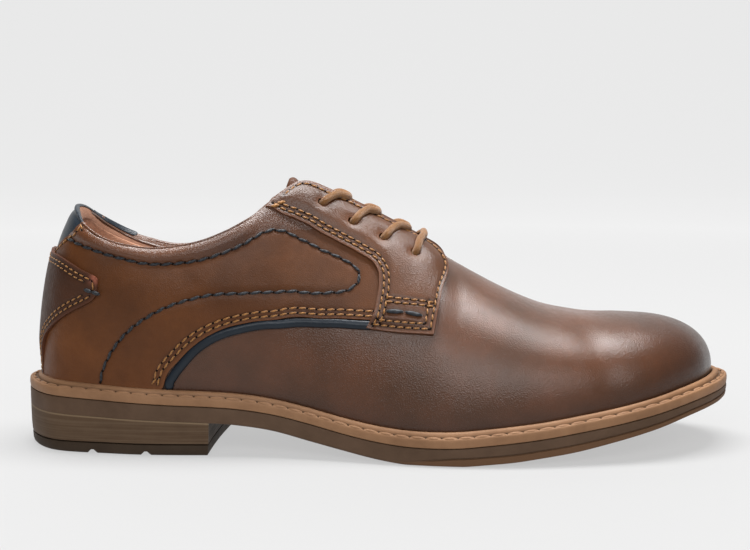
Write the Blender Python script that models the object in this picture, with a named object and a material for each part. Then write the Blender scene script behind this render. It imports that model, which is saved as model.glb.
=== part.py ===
"""Plain-toe derby shoe for the right foot: +X to the toe, +Z up, outer side towards -Y, in metres.

Sizes are in millimetres. Along the shoe, t counts from the back of the heel to the tip of the sole.
"""
import math

import bmesh
import bpy
import numpy as np

# Driving sizes
MM = 0.001
LENGTH = 305.0
GAP = 0.3
WALL = 2.0
COLLAR_PADDING = 2.6
WELT_HEIGHT = 6.3
INSOLE_THICKNESS = 3.6
LIFT_HEIGHT = 4.6
BREAST_OUTER = 81.5
BREAST_INNER = 85.0
BREAST_HOLLOW = 4.0
GROOVES = (32.0, 55.0)
GROOVE_WIDTH = 3.4
GROOVE_DEPTH = 1.6
LEATHER = 1.0
LAYER = 0.65
SECOND_LAYER = 2.35
EYELETS = ((128.0, 5.2), (140.6, 6.4), (153.5, 6.8), (167.7, 5.4))
EYELET_RADIUS = 2.1
LACE_RADIUS = 1.7
PIPING_RADIUS = 1.25
TONGUE_THICKNESS = 2.0

# Sole outline seen from above, once round from the heel: distance along the shoe, sideways
SOLE_OUTLINE = (
    (0.0, 0.0), (12.0, -24.8), (40.0, -33.5), (110.0, -38.0), (190.0, -55.5), (235.0, -51.0),
    (275.0, -38.0), (299.0, -15.0), (305.0, 4.0), (298.0, 22.0), (270.0, 39.0), (218.0, 52.0),
    (165.0, 41.0), (115.0, 30.0), (40.0, 33.5), (12.0, 24.8),
)

# Outsole from the side: along, top height, bottom height, depth of the tread layer
SOLE_PROFILE = (
    (0, 24.2, 17.0, 0.8), (20, 23.5, 16.4, 0.8), (41, 22.4, 15.6, 0.8), (65, 21.2, 14.7, 0.8),
    (80, 20.6, 14.1, 0.8), (93, 19.7, 13.0, 0.8), (108, 17.6, 10.9, 0.8), (123, 14.4, 7.3, 0.8),
    (137, 11.1, 4.2, 0.8), (152, 8.4, 1.3, 0.8), (163, 7.3, 0.0, 1.0), (171, 7.05, -0.2, 1.8),
    (185, 7.4, -0.1, 3.0), (196, 8.4, 0.7, 3.0), (208, 9.6, 1.7, 3.0), (217, 10.6, 2.9, 3.0),
    (233, 12.9, 5.2, 2.9), (249, 15.4, 8.5, 2.5), (266, 18.6, 12.4, 2.1), (283, 22.0, 16.6, 1.9),
    (294, 23.8, 18.6, 1.9), (305, 24.8, 20.2, 1.9),
)

# Width of the welt from the sole's edge to the upper: along, width
WELT_WIDTH = ((0, 6.6), (40, 4.7), (110, 4.6), (190, 5.0), (250, 5.5), (290, 6.4), (305, 6.7))

# One row for each section of the upper, from the heel to the toe:
# foot and top are where it stands and ends along the shoe, half is its reach from the ridge line
# at the top, height its top, power the roundness of its side, bulge and pad the swell of the side
# and of the collar, drop how much lower the inner side ends, ridge the sideways place of the ridge.
SECTION_COLUMNS = ("foot", "top", "half", "height", "power", "bulge", "pad", "drop", "ridge")
SECTIONS = {
    "heel back": (6.6, 24.0, 0.0, 101.0, 1.65, 0.5, 0.4, 0.0, 0.0),
    "heel turn": (11.5, 26.6, 12.5, 98.8, 1.7, 0.8, 0.7, 0.0, 0.0),
    "heel side": (23.0, 33.5, 21.5, 92.0, 1.8, 1.6, 1.1, 0.3, 0.0),
    "counter": (44.0, 48.0, 25.5, 86.0, 1.9, 2.2, 1.4, 1.5, 0.0),
    "ankle": (63.0, 63.0, 26.5, 84.8, 1.9, 2.6, 1.4, 2.5, 0.0),
    "ankle front": (83.0, 83.0, 25.0, 89.2, 1.75, 3.0, 1.2, 2.0, 0.0),
    "collar front": (99.0, 99.0, 20.5, 97.6, 1.55, 3.2, 0.6, 0.8, 0.0),
    "facing back": (108.0, 108.5, 15.0, 105.0, 1.4, 3.4, 0.0, 0.2, 0.0),
    "facing top": (118.0, 118.0, 8.0, 111.0, 1.32, 3.6, 0.0, 0.0, 0.0),
    "instep high": (131.0, 131.0, 6.5, 106.6, 1.3, 3.8, 0.0, 0.0, 0.0),
    "instep": (144.0, 144.0, 6.0, 100.3, 1.3, 4.0, 0.0, 0.0, 0.0),
    "waist": (157.0, 157.0, 5.5, 93.4, 1.35, 4.0, 0.0, 0.0, 0.0),
    "throat": (170.0, 170.0, 5.0, 86.2, 1.45, 3.4, 0.0, 0.0, 0.0),
    "throat front": (179.0, 179.0, 4.5, 81.2, 1.55, 2.8, 0.0, 0.0, 0.0),
    "vamp point": (186.0, 186.0, 0.0, 77.3, 1.65, 2.2, 0.0, 0.0, 0.0),
    "ball": (203.0, 203.0, 0.0, 68.0, 1.9, 1.2, 0.0, 0.0, 0.5),
    "vamp low": (222.0, 220.0, 0.0, 60.2, 2.1, 0.6, 0.0, 0.0, 1.0),
    "toe root": (245.0, 236.0, 0.0, 56.2, 2.2, 0.3, 0.0, 0.0, 1.5),
    "toe side": (275.0, 252.0, 0.0, 55.4, 2.25, 0.0, 0.0, 0.0, 2.0),
    "toe corner": (292.0, 260.0, 0.0, 55.1, 2.3, 0.0, 0.0, 0.0, 2.0),
    "toe tip": (298.3, 262.0, 0.0, 55.0, 2.3, 0.0, 0.0, 0.0, 2.0),
}
SIDE_ROWS = (0.0, 0.1, 0.2, 0.31, 0.42, 0.53, 0.63, 0.72, 0.79, 0.85, 0.91, 0.96, 1.0)

# Overlays, as pairs of points on the side: low along, low height, high along, high height.
# None stands for the welt below, or for the upper's own edge above.
QUARTER = (
    (None, None, None, 79.4), (8.2, None, 14.2, 81.0), (11.0, None, 16.0, 83.0), (17.0, None, 20.5, 86.3),
    (25.0, None, 25.0, 88.9), (29.0, None, 28.0, 90.4), (31.5, None, 30.0, 91.6),
    (34.0, None, 31.8, None), (46.0, None, 47.0, None), (56.5, None, 66.0, None),
    (61.5, None, 77.0, None), (65.4, 34.9, 85.0, None), (69.1, 40.5, 92.0, None),
    (74.1, 46.7, 99.0, None), (80.3, 51.5, 105.0, None), (87.5, 54.9, 111.0, None),
    (98.0, 57.6, 118.0, None), (111.0, 59.0, 127.0, None), (126.0, 59.4, 138.0, None),
    (138.0, 59.1, 150.0, None), (150.0, 57.8, 161.0, None), (170.0, 55.5, 173.5, None),
)
EYESTAY = (
    (106.6, 103.6, 108.5, None), (111.0, 102.0, 113.0, None), (120.0, 97.6, 122.0, None),
    (128.0, 93.0, 132.0, None), (136.0, 88.6, 142.0, None), (144.0, 84.0, 154.0, None),
    (149.0, 80.6, 166.0, None), (152.0, 76.6, 176.0, None), (152.0, 71.0, 178.3, 77.5),
    (151.0, 64.5, 177.2, 67.0), (149.3, 57.5, 175.6, 58.0), (148.0, 53.5, 174.0, 51.7),
)
COUNTER = (
    (None, 31.6, None, 79.4), (9.3, 43.0, 13.5, 79.2), (12.0, 49.0, 18.0, 78.6),
    (19.0, 56.0, 25.5, 76.6), (28.5, 62.0, 32.0, 73.6), (34.2, 66.0, 35.2, 71.4),
)
HEEL_TAB = (
    (None, 80.6, None, None), (16.0, 84.2, 24.8, None), (20.5, 87.5, 26.2, None),
    (25.0, 90.6, 27.8, None), (27.0, 92.0, 28.8, None),
)
PIPING = (
    (65.2, 29.8), (67.0, 33.9), (70.6, 39.3), (75.3, 45.2), (81.1, 49.8), (88.1, 53.1),
    (94.3, 54.9), (104.8, 56.7), (115.3, 57.3), (125.8, 57.5), (136.3, 57.3), (146.5, 56.2),
)

# Colours, as sRGB with roughness
FINISHES = {
    "quarter_leather": ("7A4A2C", 0.42),
    "vamp_leather": ("5F3A26", 0.36),
    "counter_leather": ("553321", 0.5),
    "navy_leather": ("2A3540", 0.5),
    "tongue_leather": ("70442A", 0.5),
    "insole_leather": ("A87658", 0.7),
    "waxed_cord": ("96683A", 0.6),
    "tan_welt": ("A07B5E", 0.6),
    "taupe_rubber": ("574838", 0.7),
    "dark_rubber": ("4A3D30", 0.75),
}


def smooth(xs, ys, x):
    """A curve through a table's points, with each point's slope taken from its neighbours."""
    xs = np.asarray(xs, float)
    ys = np.asarray(ys, float)
    x = np.clip(np.asarray(x, float), xs[0], xs[-1])
    steps = np.diff(xs)
    rises = np.diff(ys) / steps
    slopes = np.empty_like(ys)
    slopes[0] = rises[0]
    slopes[-1] = rises[-1]
    slopes[1:-1] = (rises[:-1] * steps[1:] + rises[1:] * steps[:-1]) / (steps[1:] + steps[:-1])
    k = np.clip(np.searchsorted(xs, x, side="right") - 1, 0, len(xs) - 2)
    f = (x - xs[k]) / steps[k]
    g = 1.0 - f
    ends = ys[k] * g * g * (1.0 + 2.0 * f) + ys[k + 1] * f * f * (1.0 + 2.0 * g)
    return ends + steps[k] * f * g * (slopes[k] * g - slopes[k + 1] * f)


def table(rows, column, x):
    """One column of a table of rows, read at x along its first column."""
    return smooth([row[0] for row in rows], [row[column] for row in rows], x)


def closed_curve(points, count):
    """Evenly spread places on a closed curve through the points."""
    p = np.asarray(points, float)
    around = np.vstack([p[-3:], p, p[:4]])
    run = np.concatenate([[0.0], np.cumsum(np.hypot(*np.diff(around, axis=0).T))])
    s = np.linspace(run[3], run[3 + len(p)], count, endpoint=False)
    return np.column_stack([smooth(run, around[:, 0], s), smooth(run, around[:, 1], s)])


def inset(curve, width):
    """The curve moved inwards by a width."""
    step = np.roll(curve, -1, axis=0) - np.roll(curve, 1, axis=0)
    inward = np.column_stack([-step[:, 1], step[:, 0]]) / np.hypot(step[:, 0], step[:, 1])[:, None]
    return curve + inward * np.reshape(width, (-1, 1))


def sides(curve):
    """The outer and inner side of a closed curve, each from the heel to the toe."""
    curve = np.roll(curve, -int(np.argmin(curve[:, 0])), axis=0)
    tip = int(np.argmax(curve[:, 0]))
    outer = curve[: tip + 1]
    inner = np.vstack([curve[tip:], curve[:1]])[::-1]
    return outer, inner


def station_loop(curve, count):
    """A loop of points whose outer and inner halves stand opposite each other along the shoe."""
    outer, inner = sides(curve)
    turn = np.linspace(0.0, math.pi, count + 1)
    t = outer[0, 0] + (outer[-1, 0] - outer[0, 0]) * (1.0 - np.cos(turn)) / 2.0
    out_y = np.interp(t, outer[:, 0], outer[:, 1])
    in_y = np.interp(t, inner[:, 0], inner[:, 1])
    return np.vstack([np.column_stack([t, out_y]), np.column_stack([t, in_y])[-2:0:-1]])


EDGE = closed_curve(SOLE_OUTLINE, 1600)
FEATHER = inset(EDGE, table(WELT_WIDTH, 1, EDGE[:, 0]))
FEATHER_OUTER, FEATHER_INNER = sides(FEATHER)
HEEL_T = FEATHER_OUTER[0, 0]
TOE_T = FEATHER_OUTER[-1, 0]
SIDE_SHIFT = -(EDGE[:, 1].min() + EDGE[:, 1].max()) / 2.0
STATIONS = 34
SKIRT = WELT_HEIGHT + GAP + 0.3


def sole_top(t):
    return table(SOLE_PROFILE, 1, t)


def sole_bottom(t):
    return np.maximum(table(SOLE_PROFILE, 2, t), 0.0)


def place(points):
    """Millimetres along, sideways and up, as metres about the middle of the shoe."""
    p = np.asarray(points, float)
    return (p - np.array([LENGTH / 2.0, -SIDE_SHIFT, 0.0])) * MM


def round_share(t):
    """Share of the way round one side, from the heel to the toe, for a place along the feather line."""
    reach = np.clip((np.asarray(t, float) - HEEL_T) / (TOE_T - HEEL_T), 0.0, 1.0)
    return np.arccos(1.0 - 2.0 * reach) / math.pi


SECTION_SHARE = round_share([row[0] for row in SECTIONS.values()])
SECTION_SHARE[0] = 0.0
SECTION_SHARE[-1] = 1.0


def section(column, share):
    """One column of the sections; the curve meets its mirror image at heel and toe."""
    values = np.array([row[SECTION_COLUMNS.index(column)] for row in SECTIONS.values()])
    sign = -1.0 if column == "half" else 1.0
    xs = np.concatenate([[-SECTION_SHARE[1]], SECTION_SHARE, [2.0 - SECTION_SHARE[-2]]])
    ys = np.concatenate([[sign * values[1]], values, [values[-2]]])
    return smooth(xs, ys, share)


def foot(w):
    """Place on the feather line: w is 0 at the heel, 1 at the toe by the outer side, -1 by the inner."""
    t = HEEL_T + (TOE_T - HEEL_T) * (1.0 - np.cos(np.pi * np.abs(w))) / 2.0
    out_y = np.interp(t, FEATHER_OUTER[:, 0], FEATHER_OUTER[:, 1])
    in_y = np.interp(t, FEATHER_INNER[:, 0], FEATHER_INNER[:, 1])
    return t, np.where(np.asarray(w) >= 0.0, out_y, in_y)


def surface(w, v):
    """Outer face of the upper: v is 0 above the welt and 1 at the upper's own edge or ridge."""
    w = np.clip(np.asarray(w, float), -1.0, 1.0)
    v = np.asarray(v, float)
    share = np.abs(w)
    outer = np.where(w >= 0.0, -1.0, 1.0)
    t0, y0 = foot(w)
    ahead_t, ahead_y = foot(np.clip(w + 0.004, -1.0, 1.0))
    back_t, back_y = foot(np.clip(w - 0.004, -1.0, 1.0))
    out_t = ahead_y - back_y
    out_y = back_t - ahead_t
    norm = np.hypot(out_t, out_y)
    z0 = sole_top(t0) + SKIRT
    t1 = section("top", share)
    y1 = section("ridge", share) + outer * np.maximum(section("half", share), 0.0)
    z1 = section("height", share) - np.where(w < 0.0, section("drop", share), 0.0)
    power = 2.0 / section("power", share)
    stay = np.cos(v * math.pi / 2.0).clip(0.0) ** power
    rise = np.sin(v * math.pi / 2.0).clip(0.0) ** power
    roll = np.cos(np.clip((v - 0.86) / 0.14, -1.0, 1.0) * math.pi / 2.0) ** 2
    swell = section("bulge", share) * np.sin(v * math.pi) ** 2 + section("pad", share) * roll
    t = t1 + (t0 - t1) * stay + swell * out_t / norm
    y = y1 + (y0 - y1) * stay + swell * out_y / norm
    z = z0 + (z1 - z0) * rise
    return np.stack([t, y, z], axis=-1)


def normal(w, v):
    """Direction out of the upper's face; at the throat's edge it is that of the facing below it."""
    step = 0.004
    at_throat = np.clip((foot(w)[0] - 104.0) / 10.0, 0.0, 1.0)
    v = np.minimum(v, 1.0 - 0.06 * at_throat)
    along = surface(w + step, v) - surface(w - step, v)
    up = surface(w, np.minimum(v + step, 1.0)) - surface(w, np.maximum(v - step, 0.0))
    n = np.cross(along, up)
    return n / np.linalg.norm(n, axis=-1, keepdims=True)


def lifted(w, v, height):
    """A place at a height above the upper's face."""
    w = np.asarray(w, float)
    v = np.asarray(v, float)
    return surface(w, v) + normal(w, v) * np.reshape(height, np.shape(height) + (1,))


def locate(t, z, edge, side=1.0):
    """The (w, v) of a point given along the shoe and by height; edge is the v used where z is None.

    It is found on the outer side, and the inner side takes the same place opposite.
    """
    w = 0.0 if t is None else float(round_share(t))
    v = edge if z is None else 0.5
    for _ in range(30):
        here = surface(w, v)
        if z is not None:
            slope = (surface(w, v + 1e-3)[2] - here[2]) / 1e-3
            v = float(np.clip(v + (z - here[2]) / slope, 0.0, 0.995))
        if t is not None:
            slope = (surface(w + 1e-3, v)[0] - surface(w, v)[0]) / 1e-3
            w = float(np.clip(w + np.clip((t - surface(w, v)[0]) / slope, -0.05, 0.05), 0.0, 1.0))
    return side * w, v


def linear(hex_colour):
    """Linear colour of an sRGB hex code."""
    parts = [int(hex_colour[i:i + 2], 16) / 255.0 for i in (0, 2, 4)]
    return [c / 12.92 if c <= 0.04045 else ((c + 0.055) / 1.055) ** 2.4 for c in parts] + [1.0]


def material(name):
    colour, roughness = FINISHES[name]
    made = bpy.data.materials.get(name)
    if made is None:
        made = bpy.data.materials.new(name)
        made.use_nodes = True
        shader = made.node_tree.nodes["Principled BSDF"]
        shader.inputs["Base Color"].default_value = linear(colour)
        shader.inputs["Roughness"].default_value = roughness
        shader.inputs["Metallic"].default_value = 0.0
    return made


def add_object(name, points, faces, finish, flat=False):
    """A mesh object from points in millimetres, with touching points joined and faces turned outwards."""
    bm = bmesh.new()
    verts = [bm.verts.new(p) for p in place(points)]
    for face in faces:
        bm.faces.new([verts[i] for i in face])
    bmesh.ops.remove_doubles(bm, verts=bm.verts, dist=1e-7)
    bmesh.ops.recalc_face_normals(bm, faces=bm.faces)
    mesh = bpy.data.meshes.new(name)
    bm.to_mesh(mesh)
    bm.free()
    mesh.polygons.foreach_set("use_smooth", [not flat] * len(mesh.polygons))
    made = bpy.data.objects.new(name, mesh)
    bpy.context.scene.collection.objects.link(made)
    if finish:
        mesh.materials.append(material(finish))
    return made


def skin(loops, closed):
    """Faces between a stack of loops with the same number of points."""
    n = len(loops[0])
    faces = []
    last = len(loops) if closed else len(loops) - 1
    for a in range(last):
        b = (a + 1) % len(loops)
        for i in range(n):
            j = (i + 1) % n
            faces.append((a * n + i, a * n + j, b * n + j, b * n + i))
    return faces


def strip_cap(first, n):
    """Faces across a station loop of n points that starts at the given index."""
    half = n // 2
    other = [first + (n - i) % n for i in range(half + 1)]
    faces = [(first, first + 1, other[1])]
    for i in range(1, half - 1):
        faces.append((first + i, first + i + 1, other[i + 1], other[i]))
    faces.append((first + half - 1, first + half, other[half - 1]))
    return faces


def stacked(name, loops, finish):
    """A solid of loops from the top down, closed across its ends."""
    n = len(loops[0])
    faces = skin(loops, False) + strip_cap(0, n) + strip_cap((len(loops) - 1) * n, n)
    return add_object(name, np.vstack(loops), faces, finish)


def level(curve, height_of):
    """A station loop of the curve, with a height for each place along the shoe."""
    loop = station_loop(curve, STATIONS)
    return np.column_stack([loop, height_of(loop[:, 0])])


def add_outsole():
    def tread(t):
        return sole_bottom(t) + table(SOLE_PROFILE, 3, t)

    groove = 0.9 * np.clip((EDGE[:, 0] - 158.0) / 20.0, 0.0, 1.0) + 0.1
    stacked("outsole", [
        level(EDGE, sole_top),
        level(EDGE, lambda t: tread(t) + 0.8),
        level(inset(EDGE, groove), lambda t: tread(t) + 0.3),
        level(inset(EDGE, 0.25), lambda t: tread(t) - 0.3),
        level(inset(EDGE, 0.9), sole_bottom),
    ], "taupe_rubber")


def heel_loop(width, height, count=22):
    """Outline of the heel, flat-fronted with a hollow breast, at one height or a height by place."""
    outer, inner = sides(inset(EDGE, width))
    turn = np.linspace(0.0, 1.0, count) ** 1.6

    def side(curve, front):
        t = curve[0, 0] + (front - curve[0, 0]) * turn
        return np.column_stack([t, np.interp(t, curve[:, 0], curve[:, 1])])

    out = side(outer, BREAST_OUTER - width)
    back = side(inner, BREAST_INNER - width)
    share = np.linspace(0.0, 1.0, 10)[1:-1, None]
    breast = out[-1] * (1.0 - share) + back[-1] * share
    breast[:, 0] -= BREAST_HOLLOW * np.sin(share[:, 0] * math.pi)
    loop = np.vstack([out, breast, back[:0:-1]])
    z = height(loop[:, 0]) if callable(height) else np.full(len(loop), height)
    return np.column_stack([loop, z])


def heel_solid(name, loops, finish):
    """A solid of heel outlines, closed by one face at each end."""
    n = len(loops[0])
    faces = skin(loops, False) + [tuple(range(n)), tuple(range((len(loops) - 1) * n, len(loops) * n))]
    return add_object(name, np.vstack(loops), faces, finish)


def add_heel():
    heel_solid("heel_block", [
        heel_loop(0.1, lambda t: sole_bottom(t) - GAP - 0.1),
        heel_loop(0.5, LIFT_HEIGHT + GAP + 0.4),
        heel_loop(0.9, LIFT_HEIGHT + GAP),
    ], "taupe_rubber")
    lift = heel_solid("heel_top_lift", [
        heel_loop(0.9, LIFT_HEIGHT),
        heel_loop(0.6, LIFT_HEIGHT - 0.4),
        heel_loop(0.8, 1.6),
        heel_loop(2.0, 0.0),
    ], "dark_rubber")
    points = []
    faces = []
    for middle in GROOVES:
        start = len(points)
        for y in (-60.0, 60.0):
            points += [(middle - GROOVE_WIDTH / 2.0, y, -2.0), (middle + GROOVE_WIDTH / 2.0, y, -2.0),
                       (middle + GROOVE_WIDTH / 3.0, y, GROOVE_DEPTH), (middle - GROOVE_WIDTH / 3.0, y, GROOVE_DEPTH)]
        for side in ((0, 1, 2, 3), (4, 5, 6, 7), (0, 1, 5, 4), (1, 2, 6, 5), (2, 3, 7, 6), (3, 0, 4, 7)):
            faces.append(tuple(start + i for i in side))
    cut(lift, add_object("heel_grooves", points, faces, None, flat=True))


def cut(target, cutter):
    """Take the cutter's shape out of the target."""
    cutter.hide_render = True
    cutter.display_type = "WIRE"
    tool = target.modifiers.new(cutter.name, "BOOLEAN")
    tool.operation = "DIFFERENCE"
    tool.solver = "EXACT"
    tool.object = cutter


def add_welt():
    """Ring on the outsole: a flat stitched band at the edge, a groove and a bead against the upper."""
    width = table(WELT_WIDTH, 1, EDGE[:, 0])
    profile = (
        (0.0, GAP), (0.0, 3.8), (0.7, 4.4), (width - 3.4, 4.2), (width - 3.0, 5.4),
        (width - 2.0, WELT_HEIGHT), (width - GAP, WELT_HEIGHT), (width - GAP, GAP),
    )
    loops = [level(inset(EDGE, reach), lambda t, up=up: sole_top(t) + up) for reach, up in profile]
    add_object("welt", np.vstack(loops), skin(loops, True), "tan_welt")


def add_insole():
    rim = inset(FEATHER, WALL + 0.4)
    stacked("insole", [
        level(rim, lambda t: sole_top(t) + GAP + INSOLE_THICKNESS),
        level(rim, lambda t: sole_top(t) + GAP),
    ], "insole_leather")


def shell(target, thickness, side, weights=None):
    """Give a sheet its thickness, to the outside (1) or the inside (-1)."""
    tool = target.modifiers.new("thickness", "SOLIDIFY")
    tool.thickness = thickness * MM
    tool.offset = side
    tool.use_even_offset = True
    if weights is not None:
        group = target.vertex_groups.new(name="wall")
        for index, weight in enumerate(weights):
            group.add([index], float(weight), "REPLACE")
        tool.vertex_group = group.name


def face_outwards(made, middle):
    """Turn a sheet so that its faces look away from a point inside the shoe."""
    mesh = made.data
    inside = place([middle])[0]
    total = 0.0
    for face in mesh.polygons:
        total += face.area * float(np.dot(face.normal, np.array(face.center) - inside))
    if total < 0.0:
        mesh.flip_normals()


def upper_columns():
    """Places round one side of the upper, with a column at each end of the throat's front."""
    front = float(round_share(SECTIONS["throat front"][0]))
    point = float(round_share(SECTIONS["vamp point"][0]))
    return np.concatenate([np.linspace(0.0, front, 20), np.linspace(point, 1.0, 14)])


def add_upper():
    shares = upper_columns()
    around = np.concatenate([shares, -shares[-2:0:-1]])
    n = len(around)
    rows = []
    t, y = foot(around)
    rows.append(np.column_stack([t, y, sole_top(t) + GAP]))
    for v in SIDE_ROWS:
        rows.append(surface(around, np.full(n, v)))
    made = add_object("upper", np.vstack(rows), skin(rows, False), "vamp_leather")
    face_outwards(made, (150.0, 0.0, 40.0))
    points = np.array([p.co for p in made.data.vertices]) / MM + np.array([LENGTH / 2.0, -SIDE_SHIFT, 0.0])
    rim = section("height", round_share(points[:, 0]))
    back = np.clip((112.0 - points[:, 0]) / 10.0, 0.0, 1.0)
    near_rim = np.clip(1.0 - (rim - points[:, 2]) / 16.0, 0.0, 1.0)
    padding = COLLAR_PADDING * back * np.sin(near_rim * math.pi / 2.0) ** 2
    shell(made, WALL + COLLAR_PADDING, -1.0, (WALL + padding) / (WALL + COLLAR_PADDING))
    return made


def overlay(name, pairs, across, lift, finish, spacing=7.0):
    """A panel on the upper between a low and a high edge, each given by places (w, v)."""
    lows = np.array([pair[0] for pair in pairs])
    highs = np.array([pair[1] for pair in pairs])
    low_run = np.linalg.norm(np.diff(surface(lows[:, 0], lows[:, 1]), axis=0), axis=1)
    high_run = np.linalg.norm(np.diff(surface(highs[:, 0], highs[:, 1]), axis=0), axis=1)
    run = np.concatenate([[0.0], np.cumsum(np.maximum(low_run, high_run))])
    at = [0.0]
    for a, b in zip(run[:-1], run[1:]):
        at += list(np.linspace(a, b, 1 + math.ceil((b - a) / spacing))[1:])
    at = np.array(at)
    low = np.column_stack([smooth(run, lows[:, 0], at), np.clip(smooth(run, lows[:, 1], at), 0.0, 1.0)])
    high = np.column_stack([smooth(run, highs[:, 0], at), np.clip(smooth(run, highs[:, 1], at), 0.0, 1.0)])
    rows = []
    for share in 1.0 - np.linspace(1.0, 0.0, across + 1) ** 1.5:
        where = low * (1.0 - share) + high * share
        rows.append(lifted(where[:, 0], where[:, 1], np.full(len(at), lift)))
    n = len(at)
    faces = []
    for a in range(across):
        for i in range(n - 1):
            faces.append((a * n + i, a * n + i + 1, (a + 1) * n + i + 1, (a + 1) * n + i))
    made = add_object(name, np.vstack(rows), faces, finish)
    face_outwards(made, (100.0, 0.0, 40.0))
    shell(made, LEATHER, 1.0)
    return made


def side_pairs(rows, side):
    """Low and high places of an overlay's table, on the outer (1) or inner (-1) side."""
    pairs = []
    for low_t, low_z, high_t, high_z in rows:
        pairs.append((locate(low_t, low_z, 0.0, side), locate(high_t, high_z, 0.995, side)))
    return pairs


def round_heel(rows):
    """An overlay's table carried round the back of the heel to both sides."""
    outer = side_pairs(rows, 1.0)
    inner = [((-low[0], low[1]), (-high[0], high[1])) for low, high in outer[:0:-1]]
    return inner + outer


def tube(points, radius, count):
    """Rings of points along a path, and the faces of a tube with flat ends."""
    path = np.asarray(points, float)
    run = np.gradient(path, axis=0)
    run /= np.linalg.norm(run, axis=1)[:, None]
    across = np.cross(run[0], (0.3, 0.2, 1.0))
    rings = []
    for centre, ahead in zip(path, run):
        across = across - ahead * np.dot(across, ahead)
        across /= np.linalg.norm(across)
        beside = np.cross(ahead, across)
        for k in range(count):
            turn = 2.0 * math.pi * k / count
            rings.append(centre + radius * (math.cos(turn) * across + math.sin(turn) * beside))
    faces = []
    last = len(path) - 1
    for a in range(last):
        for k in range(count):
            m = (k + 1) % count
            faces.append((a * count + k, a * count + m, (a + 1) * count + m, (a + 1) * count + k))
    faces.append(tuple(range(count)))
    faces.append(tuple(range(last * count, (last + 1) * count)))
    return np.array(rings), faces


def path_through(points, count):
    """Evenly spread places on an open curve through the points."""
    p = np.asarray(points, float)
    run = np.concatenate([[0.0], np.cumsum(np.linalg.norm(np.diff(p, axis=0), axis=1))])
    at = np.linspace(0.0, run[-1], count)
    return np.column_stack([smooth(run, p[:, i], at) for i in range(3)])


def add_piping(name, side):
    places = [locate(t, z, 0.0, side) for t, z in PIPING]
    points = [lifted(w, v, PIPING_RADIUS + LAYER) for w, v in places]
    rings, faces = tube(path_through(points, 18), PIPING_RADIUS, 6)
    add_object(name, rings, faces, "navy_leather")


def eyelet(row, side):
    """The (w, v) of an eyelet: its own drop below the facing's edge."""
    t, drop = row
    rim = surface(*locate(t, None, 1.0, side))
    return locate(t, rim[2] - drop, 1.0, side)


def eyelet_cutters():
    points = []
    faces = []
    for row in EYELETS:
        for side in (1.0, -1.0):
            w, v = eyelet(row, side)
            rings, ends = tube([lifted(w, v, -5.0), lifted(w, v, 7.0)], EYELET_RADIUS, 8)
            faces += [tuple(i + len(points) for i in face) for face in ends]
            points += list(rings)
    return add_object("eyelet_holes", points, faces, None, flat=True)


def add_tongue():
    """Tongue under the facings: it follows the inside of the upper and stands up past the throat's top."""
    drop = WALL + 1.0
    half_rows = (0.76, 0.84, 0.92, 1.0)
    rows = []
    for t in np.linspace(119.0, 198.0, 11):
        places = [locate(t, None, v) for v in half_rows]
        near = [lifted(w, v, -drop) for w, v in places]
        far = [lifted(-w, v, -drop) for w, v in places]
        ridge = surface(*places[-1])
        middle = np.array([ridge[0] - 0.45 * drop, 0.0, ridge[2] - 0.9 * drop])
        if ridge[1] > -3.0:
            near[-1] = near[-2] * 0.6 + middle * 0.4
            far[-1] = far[-2] * 0.6 + middle * 0.4
        rows.append(np.array(near + [middle] + far[::-1]))
    top = rows[0]
    off_middle = np.abs(np.linspace(-1.0, 1.0, len(top))) ** 1.5
    for share in (0.5, 1.0):
        flare = np.column_stack([-2.6 - 4.4 * off_middle, 0.0 * off_middle, 5.4 - 4.2 * off_middle])
        rows.insert(0, top * np.array([1.0, 1.0 - 0.1 * share, 1.0]) + flare * share)
    grid = np.array(rows)
    across = grid.shape[1]
    faces = []
    for a in range(len(grid) - 1):
        for i in range(across - 1):
            faces.append((a * across + i, a * across + i + 1, (a + 1) * across + i + 1, (a + 1) * across + i))
    made = add_object("tongue", grid.reshape(-1, 3), faces, "tongue_leather")
    face_outwards(made, (150.0, 0.0, 40.0))
    shell(made, TONGUE_THICKNESS, -1.0)


def over_facing(side, t, v):
    """Centre of a lace lying on the facing."""
    w, _ = locate(t, None, 1.0, side)
    return lifted(w, v, SECOND_LAYER + LEATHER + LACE_RADIUS + 2.0 * GAP)


def add_laces():
    """The lace where it lies on the facings: a bar at the front, then crossings whose legs meet in the gap."""
    last = EYELETS[-1]
    w, v = eyelet(last, 1.0)
    half = [over_facing(1.0, last[0] + lean, row) for lean, row in ((0.0, v), (1.2, 0.95), (2.2, 0.995))]
    other = [over_facing(-1.0, last[0] + lean, row) for lean, row in ((2.2, 0.995), (1.2, 0.95), (0.0, v))]
    middle = (half[-1] + other[0]) / 2.0 + np.array([0.3, 0.0, 0.8])
    rings, faces = tube(path_through(half + [middle] + other, 13), LACE_RADIUS, 6)
    add_object("lace_bar", rings, faces, "waxed_cord")
    for number, row in enumerate(EYELETS[:-1], 1):
        legs = []
        for side in (1.0, -1.0):
            w, v = eyelet(row, side)
            leg = [over_facing(side, row[0] + lean, up) for lean, up in ((0.0, v), (5.0, 0.93), (9.0, 0.985))]
            ridge = surface(*locate(row[0] + 11.5, None, 1.0))
            toward = np.array([0.0, side, 0.0])
            leg.append(np.array([ridge[0], 0.0, ridge[2] + 3.8]) - toward * 1.6)
            leg.append(np.array([ridge[0] + 1.0, 0.0, ridge[2] + 3.2]) + toward * 1.4)
            legs.append(tube(path_through(leg, 9), LACE_RADIUS, 6))
        made = add_object(f"lace_cross_{number}", legs[0][0], legs[0][1], "waxed_cord")
        second = add_object(f"lace_leg_{number}", legs[1][0], legs[1][1], None)
        second.hide_render = True
        second.display_type = "WIRE"
        tool = made.modifiers.new("joined", "BOOLEAN")
        tool.operation = "UNION"
        tool.solver = "EXACT"
        tool.object = second


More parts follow.
